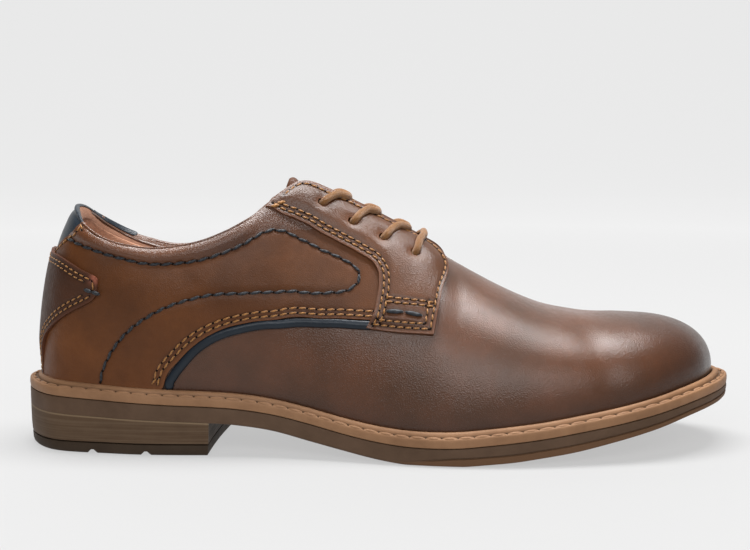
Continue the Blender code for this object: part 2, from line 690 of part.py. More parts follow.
def main():
    for old in list(bpy.data.objects):
        bpy.data.objects.remove(old, do_unlink=True)
    add_outsole()
    add_heel()
    add_welt()
    add_insole()
    holes = eyelet_cutters()
    cut(add_upper(), holes)
    for name, side in (("outer", 1.0), ("inner", -1.0)):
        quarter = side_pairs(QUARTER, side)
        quarter[0] = tuple((side * 0.004, v) for _, v in quarter[0])
        cut(overlay(f"quarter_{name}", quarter, 9, LAYER, "quarter_leather", 12.0), holes)
        facing = overlay(f"eyestay_{name}", side_pairs(EYESTAY, side), 4, SECOND_LAYER, "quarter_leather", 6.5)
        cut(facing, holes)
        add_piping(f"piping_{name}", side)
    overlay("counter_patch", round_heel(COUNTER), 4, SECOND_LAYER, "counter_leather", 6.0)
    overlay("heel_tab", round_heel(HEEL_TAB), 6, LAYER, "navy_leather", 5.0)
    add_tongue()
    add_laces()


main()
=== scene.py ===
# %% [markdown]
# # A laced leather derby, dressed over its frame
# The solids of this shoe are already modelled and packed. They come in as a fixed frame:
# right size, right place, plain faces. This lesson gives the shoe its looks, piece by piece, with
# fine sheets of leather laid on the same last, real stitches, a lace through its eyelets, and one
# material for each thing that a shoemaker would buy.

# %% Load the frame
import math

import bmesh
import bpy
import numpy as np
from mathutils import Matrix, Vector
from mathutils.kdtree import KDTree


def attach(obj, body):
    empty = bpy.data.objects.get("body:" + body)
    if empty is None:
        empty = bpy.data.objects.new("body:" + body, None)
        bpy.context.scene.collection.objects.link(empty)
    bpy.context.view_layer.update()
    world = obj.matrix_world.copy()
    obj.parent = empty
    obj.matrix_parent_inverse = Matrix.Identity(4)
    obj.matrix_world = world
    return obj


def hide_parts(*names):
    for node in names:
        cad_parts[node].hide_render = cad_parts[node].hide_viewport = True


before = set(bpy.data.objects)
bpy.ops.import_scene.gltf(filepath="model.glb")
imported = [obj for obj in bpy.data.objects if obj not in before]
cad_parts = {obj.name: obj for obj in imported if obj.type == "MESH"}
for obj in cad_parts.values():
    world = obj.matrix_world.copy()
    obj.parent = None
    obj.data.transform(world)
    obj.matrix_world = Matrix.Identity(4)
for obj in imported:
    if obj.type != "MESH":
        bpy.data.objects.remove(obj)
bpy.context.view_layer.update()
MM = 0.001
print("frame nodes:", len(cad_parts))

# %% [markdown]
# ## Camera
# The picture was taken almost level with the shoe and from its outer side. The camera could be set
# by eye, but its height, distance and pitch were fitted on known points of the sole, so they are
# plain values here. Colours go to the screen unchanged, because the hex values of the materials
# were chosen for that.

# %% Camera
CAMERA_PLACE = (-0.0019, -0.6285, 0.1452)
CAMERA_PITCH = 6.65
camera = bpy.data.objects.new("camera", bpy.data.cameras.new("camera"))
camera.data.sensor_width = 36.0
camera.data.lens = 69.98
camera.location = CAMERA_PLACE
camera.rotation_euler = (math.radians(90.0 - CAMERA_PITCH), 0.0, 0.0)
scene = bpy.context.scene
scene.collection.objects.link(camera)
scene.camera = camera
scene.view_settings.view_transform = "Standard"
print("camera at", CAMERA_PLACE, "looking", CAMERA_PITCH, "degrees down")

# %% [markdown]
# ## Nodes and colours
# A colour picked on the screen is an sRGB hex value, and the shader wants linear light, so one
# function converts it. A second one adds a node, sets its properties and joins its sockets: with
# it a material reads as a list of what it is made of.

# %% Nodes and colours
def linear(hex_colour):
    """Linear colour of an sRGB hex code."""
    parts = [int(hex_colour[i:i + 2], 16) / 255.0 for i in (0, 2, 4)]
    return [c / 12.92 if c <= 0.04045 else ((c + 0.055) / 1.055) ** 2.4 for c in parts] + [1.0]


def add(tree, kind, inputs=None, **settings):
    """A new node: settings are its properties, inputs are socket values or sockets to link from."""
    node = tree.nodes.new("ShaderNode" + kind)
    for name, value in settings.items():
        setattr(node, name, value)
    for name, value in (inputs or {}).items():
        if isinstance(value, bpy.types.NodeSocket):
            tree.links.new(value, node.inputs[name])
        else:
            node.inputs[name].default_value = value
    return node


def start_material(name, **constants):
    """A material with its shader's constant sockets set; gives back its tree, shader and place socket."""
    made = bpy.data.materials.new(name)
    made.use_nodes = True
    tree = made.node_tree
    shader = tree.nodes["Principled BSDF"]
    for socket, value in constants.items():
        shader.inputs[socket.replace("_", " ")].default_value = value
    where = add(tree, "TexCoord").outputs["Object"]
    return made, tree, shader, where


def per(size):
    """Texture scale for a pattern of that size in millimetres."""
    return 1.0 / (size * MM)


print("helpers ready")

# %% [markdown]
# ## Stage and light
# The shoe stands on a plain pale sweep: a floor that curves up into a wall, so there is no horizon.
# A real sweep is lit from all round until it glows evenly. Here it gives off some of its own light
# for that, and the rest of its brightness falls where the shoe lets it, which leaves a soft shadow.

# %% Sweep
SWEEP_REACH = 1.6
SWEEP_RADIUS = 0.8
SWEEP_WIDER = 2.5
SWEEP_WALL = 2.0
SWEEP_SINK = 0.2
bm = bmesh.new()
bmesh.ops.create_grid(bm, x_segments=1, y_segments=1, size=SWEEP_REACH)
bmesh.ops.scale(bm, vec=(SWEEP_WIDER, 1.0, 1.0), verts=bm.verts)
back = [e for e in bm.edges if all(v.co.y > SWEEP_REACH - 0.01 for v in e.verts)]
bmesh.ops.spin(bm, geom=back, cent=(0.0, SWEEP_REACH, SWEEP_RADIUS), axis=(1.0, 0.0, 0.0),
               angle=math.pi / 2.0, steps=16)
top = [e for e in bm.edges if all(v.co.z > SWEEP_RADIUS - 0.01 for v in e.verts)]
raised = bmesh.ops.extrude_edge_only(bm, edges=top)["geom"]
wall = [v for v in raised if isinstance(v, bmesh.types.BMVert)]
bmesh.ops.translate(bm, vec=(0.0, 0.0, SWEEP_WALL), verts=wall)
bmesh.ops.translate(bm, vec=(0.0, 0.0, -SWEEP_SINK * MM), verts=bm.verts)
sweep_mesh = bpy.data.meshes.new("sweep")
bm.to_mesh(sweep_mesh)
bm.free()
sweep_mesh.shade_smooth()
sweep = bpy.data.objects.new("sweep", sweep_mesh)
scene.collection.objects.link(sweep)
# Paper: an even pale grey. It gives off more light away from the lamp's pool and less towards the lens.
paper, tree, shader, where = start_material(
    "seamless_paper", Roughness=0.9, Specular_IOR_Level=0.1, Base_Color=linear("6C6C6C"),
    Emission_Color=linear("FFFFFF"))
pool = add(tree, "VectorMath", {0: where, 1: (-0.05, 0.0, 0.0)}, operation="ADD")
away = add(tree, "VectorMath", {0: pool.outputs["Vector"]}, operation="LENGTH")
even = add(tree, "MapRange", {"Value": away.outputs["Value"], "From Min": 0.0, "From Max": 1.15,
                              "To Min": 0.48, "To Max": 0.74})
depth = add(tree, "SeparateXYZ", {"Vector": where})
front = add(tree, "MapRange", {"Value": depth.outputs["Y"], "From Min": -0.5, "From Max": -0.2,
                               "To Min": 0.3, "To Max": 1.0})
glow = add(tree, "Math", {0: even.outputs["Result"], 1: front.outputs["Result"]}, operation="MULTIPLY")
tree.links.new(glow.outputs["Value"], shader.inputs["Emission Strength"])
sweep_mesh.materials.append(paper)
print("sweep:", len(sweep_mesh.polygons), "faces")

# %% Light
def softbox(name, spot, aim, size, power):
    """A rectangular soft light that looks from its spot to its aim, in metres and watts."""
    lamp = bpy.data.lights.new(name, "AREA")
    lamp.shape = "RECTANGLE"
    lamp.size, lamp.size_y = size
    lamp.energy = power
    made = bpy.data.objects.new(name, lamp)
    made.location = spot
    made.rotation_euler = (Vector(aim) - Vector(spot)).to_track_quat("-Z", "Y").to_euler()
    scene.collection.objects.link(made)
    return made


softbox("overhead_softbox", (0.05, 0.1, 0.95), (0.03, 0.0, 0.05), (0.8, 0.36), 18.5)
softbox("front_fill", (0.1, -1.25, 0.82), (0.0, 0.0, 0.05), (1.5, 0.5), 12.2)
world = bpy.data.worlds.new("studio")
world.use_nodes = True
world.node_tree.nodes["Background"].inputs["Color"].default_value = linear("F0F0F0")
world.node_tree.nodes["Background"].inputs["Strength"].default_value = 0.24
scene.world = world

# %% [markdown]
# ## The last
# A shoe takes its form from the last, the block that it is pulled over. The frame's solids were cut
# from one function of the last, so the fine sheets here use the same function and lie on the same
# form. The sole's tables are the same too, and so are the sections, but for an inner topline that
# ends up to about 2 mm lower here. Sizes are in millimetres, t runs along the shoe from the heel to
# the tip of the sole, and the outer side is the one with negative y.

# %% Tables of the last
LENGTH = 305.0
SKIRT = 6.9
SKIRT_DROP = 40.0
SOLE_OUTLINE = (
    (0.0, 0.0), (12.0, -24.8), (40.0, -33.5), (110.0, -38.0), (190.0, -55.5), (235.0, -51.0),
    (275.0, -38.0), (299.0, -15.0), (305.0, 4.0), (298.0, 22.0), (270.0, 39.0), (218.0, 52.0),
    (165.0, 41.0), (115.0, 30.0), (40.0, 33.5), (12.0, 24.8),
)
# along, top height, bottom height, depth of the tread layer
SOLE_PROFILE = (
    (0, 24.2, 17.0, 0.8), (20, 23.5, 16.4, 0.8), (41, 22.4, 15.6, 0.8), (65, 21.2, 14.7, 0.8),
    (80, 20.6, 14.1, 0.8), (93, 19.7, 13.0, 0.8), (108, 17.6, 10.9, 0.8), (123, 14.4, 7.3, 0.8),
    (137, 11.1, 4.2, 0.8), (152, 8.4, 1.3, 0.8), (163, 7.3, 0.0, 1.0), (171, 7.05, -0.2, 1.8),
    (185, 7.4, -0.1, 3.0), (196, 8.4, 0.7, 3.0), (208, 9.6, 1.7, 3.0), (217, 10.6, 2.9, 3.0),
    (233, 12.9, 5.2, 2.9), (249, 15.4, 8.5, 2.5), (266, 18.6, 12.4, 2.1), (283, 22.0, 16.6, 1.9),
    (294, 23.8, 18.6, 1.9), (305, 24.8, 20.2, 1.9),
)
WELT_WIDTH = ((0, 6.6), (40, 4.7), (110, 4.6), (190, 5.0), (250, 5.5), (290, 6.4), (305, 6.7))
# foot and top along the shoe, reach from the ridge at the top, top height, roundness, swell of the
# side, swell of the collar, how much lower the inner side ends, sideways place of the ridge
SECTION_COLUMNS = ("foot", "top", "half", "height", "power", "bulge", "pad", "drop", "ridge")
SECTIONS = {
    "heel back": (6.6, 24.0, 0.0, 101.0, 1.65, 0.5, 0.4, 0.0, 0.0),
    "heel turn": (11.5, 26.6, 12.5, 98.8, 1.7, 0.8, 0.7, 0.0, 0.0),
    "heel side": (23.0, 33.5, 21.5, 92.0, 1.8, 1.6, 1.1, 0.3, 0.0),
    "counter": (44.0, 48.0, 25.5, 86.0, 1.9, 2.2, 1.4, 2.0, 0.0),
    "ankle": (63.0, 63.0, 26.5, 84.8, 1.9, 2.6, 1.4, 4.0, 0.0),
    "ankle front": (83.0, 83.0, 25.0, 89.2, 1.75, 3.0, 1.2, 4.2, 0.0),
    "collar front": (99.0, 99.0, 20.5, 97.6, 1.55, 3.2, 0.6, 2.0, 0.0),
    "facing back": (108.0, 108.5, 15.0, 105.0, 1.4, 3.4, 0.0, 1.6, 0.0),
    "facing top": (118.0, 118.0, 8.0, 111.0, 1.32, 3.6, 0.0, 0.7, 0.0),
    "instep high": (131.0, 131.0, 6.5, 106.6, 1.3, 3.8, 0.0, 0.0, 0.0),
    "instep": (144.0, 144.0, 6.0, 100.3, 1.3, 4.0, 0.0, 0.0, 0.0),
    "waist": (157.0, 157.0, 5.5, 93.4, 1.35, 4.0, 0.0, 0.0, 0.0),
    "throat": (170.0, 170.0, 5.0, 86.2, 1.45, 3.4, 0.0, 0.0, 0.0),
    "throat front": (179.0, 179.0, 4.5, 81.2, 1.55, 2.8, 0.0, 0.0, 0.0),
    "vamp point": (186.0, 186.0, 0.0, 77.3, 1.65, 2.2, 0.0, 0.0, 0.0),
    "ball": (203.0, 203.0, 0.0, 68.0, 1.9, 1.2, 0.0, 0.0, 0.5),
    "vamp low": (222.0, 220.0, 0.0, 60.2, 2.1, 0.6, 0.0, 0.0, 1.0),
    "toe root": (245.0, 236.0, 0.0, 56.2, 2.2, 0.3, 0.0, 0.0, 1.5),
    "toe side": (275.0, 252.0, 0.0, 55.4, 2.25, 0.0, 0.0, 0.0, 2.0),
    "toe corner": (292.0, 260.0, 0.0, 55.1, 2.3, 0.0, 0.0, 0.0, 2.0),
    "toe tip": (298.3, 262.0, 0.0, 55.0, 2.3, 0.0, 0.0, 0.0, 2.0),
}
print("sections of the last:", len(SECTIONS))

# %% Curves through tables
def smooth(xs, ys, x):
    """A curve through a table's points, with each point's slope taken from its neighbours."""
    xs = np.asarray(xs, float)
    ys = np.asarray(ys, float)
    x = np.clip(np.asarray(x, float), xs[0], xs[-1])
    steps = np.diff(xs)
    rises = np.diff(ys) / steps
    slopes = np.empty_like(ys)
    slopes[0] = rises[0]
    slopes[-1] = rises[-1]
    slopes[1:-1] = (rises[:-1] * steps[1:] + rises[1:] * steps[:-1]) / (steps[1:] + steps[:-1])
    k = np.clip(np.searchsorted(xs, x, side="right") - 1, 0, len(xs) - 2)
    f = (x - xs[k]) / steps[k]
    g = 1.0 - f
    ends = ys[k] * g * g * (1.0 + 2.0 * f) + ys[k + 1] * f * f * (1.0 + 2.0 * g)
    return ends + steps[k] * f * g * (slopes[k] * g - slopes[k + 1] * f)


def table(rows, column, x):
    """One column of a table of rows, read at x along its first column."""
    return smooth([row[0] for row in rows], [row[column] for row in rows], x)


def ramp(x, low, high):
    """0 below low, 1 above high, with a soft start and end."""
    share = np.clip((np.asarray(x, float) - low) / (high - low), 0.0, 1.0)
    return share * share * (3.0 - 2.0 * share)


def closed_curve(points, count):
    """Evenly spread places on a closed curve through the points."""
    p = np.asarray(points, float)
    around = np.vstack([p[-3:], p, p[:4]])
    run = np.concatenate([[0.0], np.cumsum(np.hypot(*np.diff(around, axis=0).T))])
    s = np.linspace(run[3], run[3 + len(p)], count, endpoint=False)
    return np.column_stack([smooth(run, around[:, 0], s), smooth(run, around[:, 1], s)])


def inset(curve, width):
    """The closed curve moved inwards by a width."""
    step = np.roll(curve, -1, axis=0) - np.roll(curve, 1, axis=0)
    inward = np.column_stack([-step[:, 1], step[:, 0]]) / np.hypot(step[:, 0], step[:, 1])[:, None]
    return curve + inward * np.reshape(width, (-1, 1))


def sides(curve):
    """The outer and inner side of a closed curve, each from the heel to the toe."""
    curve = np.roll(curve, -int(np.argmin(curve[:, 0])), axis=0)
    tip = int(np.argmax(curve[:, 0]))
    return curve[: tip + 1], np.vstack([curve[tip:], curve[:1]])[::-1]


def on_sides(pair, w):
    """Place on a curve's two sides: w is 0 at the heel, 1 at the toe by the outer side, -1 by the inner."""
    outer, inner = pair
    t = outer[0, 0] + (outer[-1, 0] - outer[0, 0]) * (1.0 - np.cos(np.pi * np.abs(w))) / 2.0
    out_y = np.interp(t, outer[:, 0], outer[:, 1])
    in_y = np.interp(t, inner[:, 0], inner[:, 1])
    return t, np.where(np.asarray(w) >= 0.0, out_y, in_y)


EDGE = closed_curve(SOLE_OUTLINE, 2400)
EDGE_WELT = table(WELT_WIDTH, 1, EDGE[:, 0])
FEATHER = inset(EDGE, EDGE_WELT)
FEATHER_SIDES = sides(FEATHER)
HEEL_T = FEATHER[:, 0].min()
TOE_T = FEATHER[:, 0].max()
SIDE_SHIFT = -(EDGE[:, 1].min() + EDGE[:, 1].max()) / 2.0
print("feather line from", round(HEEL_T, 1), "to", round(TOE_T, 1), "mm")

# %% The last as a function
def sole_top(t):
    """Height of the sole's upper face."""
    return table(SOLE_PROFILE, 1, t)


def sole_bottom(t):
    """Height of the sole's lower face, never under the floor."""
    return np.maximum(table(SOLE_PROFILE, 2, t), 0.0)


def place(points):
    """Millimetres along, sideways and up, as metres in the row frame."""
    return (np.asarray(points, float) - np.array([LENGTH / 2.0, -SIDE_SHIFT, 0.0])) * MM


def round_share(t):
    """Share of the way round one side, from the heel to the toe, for a place along the feather line."""
    reach = np.clip((np.asarray(t, float) - HEEL_T) / (TOE_T - HEEL_T), 0.0, 1.0)
    return np.arccos(1.0 - 2.0 * reach) / math.pi


SECTION_SHARE = round_share([row[0] for row in SECTIONS.values()])
SECTION_SHARE[0] = 0.0
SECTION_SHARE[-1] = 1.0


def section(column, share):
    """One column of the sections; the curve meets its mirror image at heel and toe."""
    values = np.array([row[SECTION_COLUMNS.index(column)] for row in SECTIONS.values()])
    sign = -1.0 if column == "half" else 1.0
    xs = np.concatenate([[-SECTION_SHARE[1]], SECTION_SHARE, [2.0 - SECTION_SHARE[-2]]])
    ys = np.concatenate([[sign * values[1]], values, [values[-2]]])
    return smooth(xs, ys, share)


def foot(w):
    """Place along and sideways on the feather line."""
    return on_sides(FEATHER_SIDES, w)


def surface(w, v):
    """Outer face of the last: v is 0 above the welt, 1 at the upper's edge, and below 0 in the skirt."""
    w = np.clip(np.asarray(w, float), -1.0, 1.0)
    skirt = np.minimum(np.asarray(v, float), 0.0)
    v = np.clip(np.asarray(v, float), 0.0, 1.0)
    share = np.abs(w)
    t0, y0 = foot(w)
    ahead_t, ahead_y = foot(np.clip(w + 0.004, -1.0, 1.0))
    back_t, back_y = foot(np.clip(w - 0.004, -1.0, 1.0))
    out_t = ahead_y - back_y
    out_y = back_t - ahead_t
    norm = np.hypot(out_t, out_y)
    t1 = section("top", share)
    y1 = section("ridge", share) + np.where(w >= 0.0, -1.0, 1.0) * np.maximum(section("half", share), 0.0)
    z0 = sole_top(t0) + SKIRT
    z1 = rim_height(w)
    power = 2.0 / section("power", share)
    stay = np.cos(v * math.pi / 2.0).clip(0.0) ** power
    rise = np.sin(v * math.pi / 2.0).clip(0.0) ** power
    roll = np.cos(np.clip((v - 0.86) / 0.14, -1.0, 1.0) * math.pi / 2.0) ** 2
    swell = section("bulge", share) * np.sin(v * math.pi) ** 2 + section("pad", share) * roll
    t = t1 + (t0 - t1) * stay + swell * out_t / norm
    y = y1 + (y0 - y1) * stay + swell * out_y / norm
    z = z0 + (z1 - z0) * rise + skirt * SKIRT_DROP
    return np.stack(np.broadcast_arrays(t, y, z), axis=-1)


def rim_height(w):
    """Height of the upper's edge or ridge."""
    share = np.abs(w)
    return section("height", share) - np.where(np.asarray(w) < 0.0, section("drop", share), 0.0)


def normal(w, v):
    """Direction out of the last; at the throat's edge it is that of the facing below it."""
    step = 0.004
    at_throat = np.clip((foot(w)[0] - 104.0) / 10.0, 0.0, 1.0)
    v = np.clip(v, 0.01, 1.0 - 0.06 * at_throat)
    along = surface(w + step, v) - surface(w - step, v)
    up = surface(w, np.minimum(v + step, 1.0)) - surface(w, np.maximum(v - step, 0.0))
    n = np.cross(along, up)
    return n / np.linalg.norm(n, axis=-1, keepdims=True)


def lifted(w, v, height):
    """A place at a height above the last."""
    w = np.asarray(w, float)
    v = np.asarray(v, float)
    return surface(w, v) + normal(w, v) * np.reshape(height, np.shape(height) + (1,))


print("rim at the heel back:", round(float(rim_height(0.0)), 1), "mm")

# %% Places on the last
WELT_TUCK = -0.02
ROLL_START = 0.9


def locate(t, z, side=1.0, edge=0.99):
    """The (w, v) of a point along the shoe and by height: None stands for the edge, or the back seam."""
    w = 0.0 if t is None else float(round_share(t))
    v = edge if z is None else 0.5
    for _ in range(14):
        if z is not None:
            here = surface(w, v)
            slope = (surface(w, v + 1e-3)[2] - here[2]) / 1e-3
            v = float(np.clip(v + (z - here[2]) / max(slope, 1.0), 0.0, 0.995))
        if t is not None:
            slope = (surface(w + 1e-3, v)[0] - surface(w, v)[0]) / 1e-3
            w = float(np.clip(w + np.clip((t - surface(w, v)[0]) / slope, -0.05, 0.05), 0.0, 1.0))
    return side * w, v


def run_of(points):
    """Distance run along a line of points."""
    return np.concatenate([[0.0], np.cumsum(np.linalg.norm(np.diff(points, axis=0), axis=1))])


def trace(places, step=0.7):
    """A smooth line of (w, v) places through a few of them, evenly spread."""
    places = np.asarray(places, float)
    run = run_of(surface(places[:, 0], places[:, 1]))
    at = np.linspace(0.0, run[-1], max(4, int(run[-1] / step)))
    v = np.clip(smooth(run, places[:, 1], at), WELT_TUCK, 0.995)
    return np.column_stack([smooth(run, places[:, 0], at), v])


def beside(line, distance, trim=(0.0, 0.0)):
    """A line of (w, v) places moved sideways over the last, then cut short at its ends by lengths."""
    w, v = line.T
    here = surface(w, v)
    ahead = np.gradient(here, axis=0)
    across = np.cross(normal(w, v), ahead / np.linalg.norm(ahead, axis=1)[:, None])
    spots = here + across * np.reshape(distance, (-1, 1))
    step = 1e-3
    for _ in range(8):
        here = surface(w, v)
        by_w = (surface(w + step, v) - here) / step
        by_v = (surface(w, v + step) - surface(w, v - step)) / (2.0 * step)
        miss = spots - here
        a, b, c = (by_w * by_w).sum(1), (by_w * by_v).sum(1), (by_v * by_v).sum(1)
        p, q = (by_w * miss).sum(1), (by_v * miss).sum(1)
        room = np.maximum(a * c - b * b, 1e-6)
        w = np.clip(w + np.clip((c * p - b * q) / room, -0.02, 0.02), -1.0, 1.0)
        v = np.clip(v + np.clip((a * q - b * p) / room, -0.05, 0.05), WELT_TUCK, 0.993)
    run = run_of(surface(w, v))
    keep = (run >= trim[0]) & (run <= run[-1] - trim[1])
    return np.column_stack([w, v])[keep]


print("eyelet edge at t 128:", np.round(surface(*locate(128.0, None)), 1))

# %% [markdown]
# ## Sheets
# Leather is cut flat and pulled over the last. A grid does the same: `create_grid` makes it flat,
# and each vertex is carried to its place. Solidify then gives the leather its thickness and Bevel
# rounds its cut edges. Attributes say how far each point is from an edge or a seam, so a material
# can lighten the edges with wear and a painted highlight, and darken the seams with painted shade.

# %% Grid helpers
def carry(points):
    """A bmesh grid carried to rows and columns of places in millimetres, with touching points joined."""
    rows, columns = points.shape[:2]
    made = bmesh.new()
    made.loops.layers.uv.new("UVMap")
    bmesh.ops.create_grid(made, x_segments=columns - 1, y_segments=rows - 1, size=0.5, calc_uvs=True)
    spots = place(points)
    for vert in made.verts:
        column = round((vert.co.x + 0.5) * (columns - 1))
        row = round((vert.co.y + 0.5) * (rows - 1))
        vert.co = spots[row, column]
    bmesh.ops.remove_doubles(made, verts=made.verts, dist=1e-6)
    return made


def carry_closed(points):
    """A grid carried to places that close on themselves, with its faces turned outwards."""
    made = carry(np.array(points))
    bmesh.ops.recalc_face_normals(made, faces=made.faces)
    return made


def join(made, other, gap):
    """Adds a second bmesh to the first, and merges points closer than a gap in millimetres."""
    mesh = bpy.data.meshes.new("joined")
    other.to_mesh(mesh)
    other.free()
    made.from_mesh(mesh)
    bpy.data.meshes.remove(mesh)
    bmesh.ops.remove_doubles(made, verts=made.verts, dist=gap * MM)


def shoe_places(made):
    """The vertices of a bmesh in millimetres along the shoe, sideways and up."""
    return np.array([v.co for v in made.verts]) / MM + np.array([LENGTH / 2.0, -SIDE_SHIFT, 0.0])


def face_out(made, middle=(110.0, 0.0, 45.0)):
    """Turns a sheet so that its faces look away from a point inside the shoe."""
    inside = Vector(place([middle])[0])
    total = sum(f.calc_area() * f.normal.dot(f.calc_center_median() - inside) for f in made.faces)
    if total < 0.0:
        bmesh.ops.reverse_faces(made, faces=made.faces)


def tree_of(spots):
    """A search tree that finds the nearest of some spots."""
    tree = KDTree(len(spots))
    for index, spot in enumerate(spots):
        tree.insert(spot, index)
    tree.balance()
    return tree


def distance_to(made, spots):
    """Distance in millimetres from each vertex to the nearest of some spots given in metres."""
    tree = tree_of(spots)
    return np.array([tree.find(v.co)[2] for v in made.verts]) / MM


def piece(name, made, finish, nodes=(), paint=None, sharp=None):
    """An object from a bmesh, riding on the frame, with its finish and the nodes that it stands for."""
    mesh = bpy.data.meshes.new(name)
    made.to_mesh(mesh)
    made.free()
    mesh.shade_smooth()
    if sharp:
        mesh.set_sharp_from_angle(angle=math.radians(sharp))
    for label, values in (paint or {}).items():
        layer = mesh.attributes.new(label, "FLOAT", "POINT")
        layer.data.foreach_set("value", np.asarray(values, np.float32))
    mesh.materials.append(finish)
    obj = bpy.data.objects.new(name, mesh)
    scene.collection.objects.link(obj)
    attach(obj, "root")
    if nodes:
        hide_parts(*nodes)
    print(f"{name}: {len(mesh.polygons)} faces")
    return obj


def thicken(obj, thickness, edge):
    """Gives a sheet its thickness inwards and rounds its cut edges, in millimetres."""
    wall = obj.modifiers.new("thickness", "SOLIDIFY")
    wall.thickness = thickness * MM
    wall.offset = -1.0
    if edge:
        rounding = obj.modifiers.new("cut_edge", "BEVEL")
        rounding.width = edge * MM
        rounding.segments = 2
        rounding.limit_method = "ANGLE"
        rounding.angle_limit = math.radians(50.0)
    return obj


def hollow(points, dents):
    """How far points sink where lines, each with a depth and a width, are pressed into the leather."""
    down = np.zeros(points.shape[:-1])
    flat = points.reshape(-1, 3)
    for line, depth, width in dents:
        tree = tree_of(line)
        away = np.array([tree.find(p)[2] for p in flat]).reshape(down.shape)
        down += depth * np.exp(-(away / width) ** 2)
    return down


print("sheet helpers ready")

# %% [markdown]
# ## Leathers
# The leathers here are smooth hides, cowhide outside and pigskin for the lining, so one recipe
# serves them: two depths of dye in soft clouds, a finer mottle, tight grain with pores in the bump,
# and on most a thin wax coat. What differs is the dye, the size of the grain and the gloss. The
# attribute "worn" lightens rubbed edges, and on cut edges it is also a painted highlight. The
# attribute "shade" is mostly painted shade: in seams, under the panels' edges, on the quarters'
# upper part and on the lining's roll. It also darkens the upper by the welt, and the toe that was
# burnished by hand.

# %% Leather recipe
CLOUD_WIDTH = 34.0
MOTTLE_WIDTH = 3.2


def leather(name, dye, deep, rubbed, grain, gloss, coat, bump=0.16):
    """Smooth hide: gives the eye broad soft highlights, a fine broken sparkle and a mottled dye.

    The pores of smooth leather are only 0.1 to 0.3 mm apart and would not show in the picture, so the
    grain, in millimetres, is drawn coarser.
    """
    made, tree, shader, where = start_material(
        name, IOR=1.45, Specular_IOR_Level=0.26, Coat_Weight=coat, Coat_Roughness=0.18, Coat_IOR=1.45)
    clouds = add(tree, "TexNoise", {"Vector": where, "Scale": per(CLOUD_WIDTH), "Detail": 3.0,
                                    "Roughness": 0.6})
    mottle = add(tree, "TexNoise", {"Vector": where, "Scale": per(MOTTLE_WIDTH), "Detail": 4.0,
                                    "Roughness": 0.7})
    depth = add(tree, "MapRange", {"Value": clouds.outputs["Fac"], "From Min": 0.36, "From Max": 0.66})
    dyed = add(tree, "MixRGB", {"Fac": depth.outputs["Result"], "Color1": linear(dye),
                                "Color2": linear(deep)})
    specks = add(tree, "MapRange", {"Value": mottle.outputs["Fac"], "From Min": 0.3, "From Max": 0.75,
                                    "To Min": 0.0, "To Max": 0.42})
    spotted = add(tree, "MixRGB", {"Fac": specks.outputs["Result"], "Color1": dyed.outputs["Color"],
                                   "Color2": linear(deep)})
    # Lighter where "worn": rubbed wear, and on cut edges a painted highlight on the rim.
    worn = add(tree, "Attribute", attribute_name="worn")
    patchy = add(tree, "Math", {0: worn.outputs["Fac"], 1: mottle.outputs["Fac"]}, operation="MULTIPLY")
    edged = add(tree, "MixRGB", {"Fac": patchy.outputs["Value"], "Color1": spotted.outputs["Color"],
                                 "Color2": linear(rubbed)})
    # Darker where "shade": painted shade in seams, under edges and on parts the light favours; also the toe's
    # burnish.
    shade = add(tree, "Attribute", attribute_name="shade")
    dark = add(tree, "MixRGB", {"Fac": shade.outputs["Fac"], "Color1": edged.outputs["Color"],
                                "Color2": linear("1C0F09")})
    tree.links.new(dark.outputs["Color"], shader.inputs["Base Color"])
    matt = add(tree, "MapRange", {"Value": mottle.outputs["Fac"], "From Min": 0.3, "From Max": 0.7,
                                  "To Min": gloss - 0.05, "To Max": gloss + 0.09})
    tree.links.new(matt.outputs["Result"], shader.inputs["Roughness"])
    pores = add(tree, "TexVoronoi", {"Vector": where, "Scale": per(grain)}, feature="F1")
    fibre = add(tree, "TexNoise", {"Vector": where, "Scale": per(grain * 0.6), "Detail": 3.0})
    relief = add(tree, "Math", {0: pores.outputs["Distance"], 1: fibre.outputs["Fac"]}, operation="ADD")
    pressed = add(tree, "Bump", {"Height": relief.outputs["Value"], "Strength": bump,
                                 "Distance": grain * 0.35 * MM})
    tree.links.new(pressed.outputs["Normal"], shader.inputs["Normal"])
    tree.links.new(pressed.outputs["Normal"], shader.inputs["Coat Normal"])
    return made


VAMP_LEATHER = leather("burnished_vamp_leather", "5C3620", "462915", "6B4630", 0.56, 0.42, 0.66, 0.4)
QUARTER_LEATHER = leather("waxed_quarter_leather", "683A14", "4F2A0C", "7A4C2C", 0.5, 0.5, 0.13, 0.44)
COLLAR_LEATHER = leather("rubbed_collar_leather", "683A18", "4F2A10", "7A4C2C", 0.55, 0.42, 0.8, 0.62)
FACING_LEATHER = leather("waxed_facing_leather", "5C351A", "452610", "7A4E36", 0.58, 0.5, 0.45, 0.4)
COUNTER_LEATHER = leather("oiled_counter_leather", "4E2D1A", "3A2112", "A8624C", 1.1, 0.52, 0.05, 0.3)
NAVY_LEATHER = leather("navy_leather", "1E2832", "151C24", "303C47", 0.7, 0.4, 0.15)
TONGUE_LEATHER = leather("soft_tongue_leather", "643A20", "4A2914", "74492F", 1.3, 0.48, 0.05, 0.24)
LINING_LEATHER = leather("pigskin_lining", "C29176", "AE7E64", "C59A80", 1.6, 0.62, 0.0, 0.22)
INSOLE_LEATHER = leather("insole_leather", "A97A5F", "93654C", "BB9176", 1.4, 0.6, 0.0)
print("leathers mixed")

# %% [markdown]
# ## Threads, cord, welt and rubber
# Threads and the lace are twisted, which shows as fine slanting lines, so their bump follows the
# UV map: round the strand and along it. The welt and the sole are moulded, with a dull skin and a
# fine grit. The heel's block is scored with thin level lines like a stack of leather lifts.

# %% Thread and cord materials
# Real fibres are a few hundredths of a millimetre: the fuzz is drawn coarser, or it would not show.
FUZZ_WIDTH = 0.8


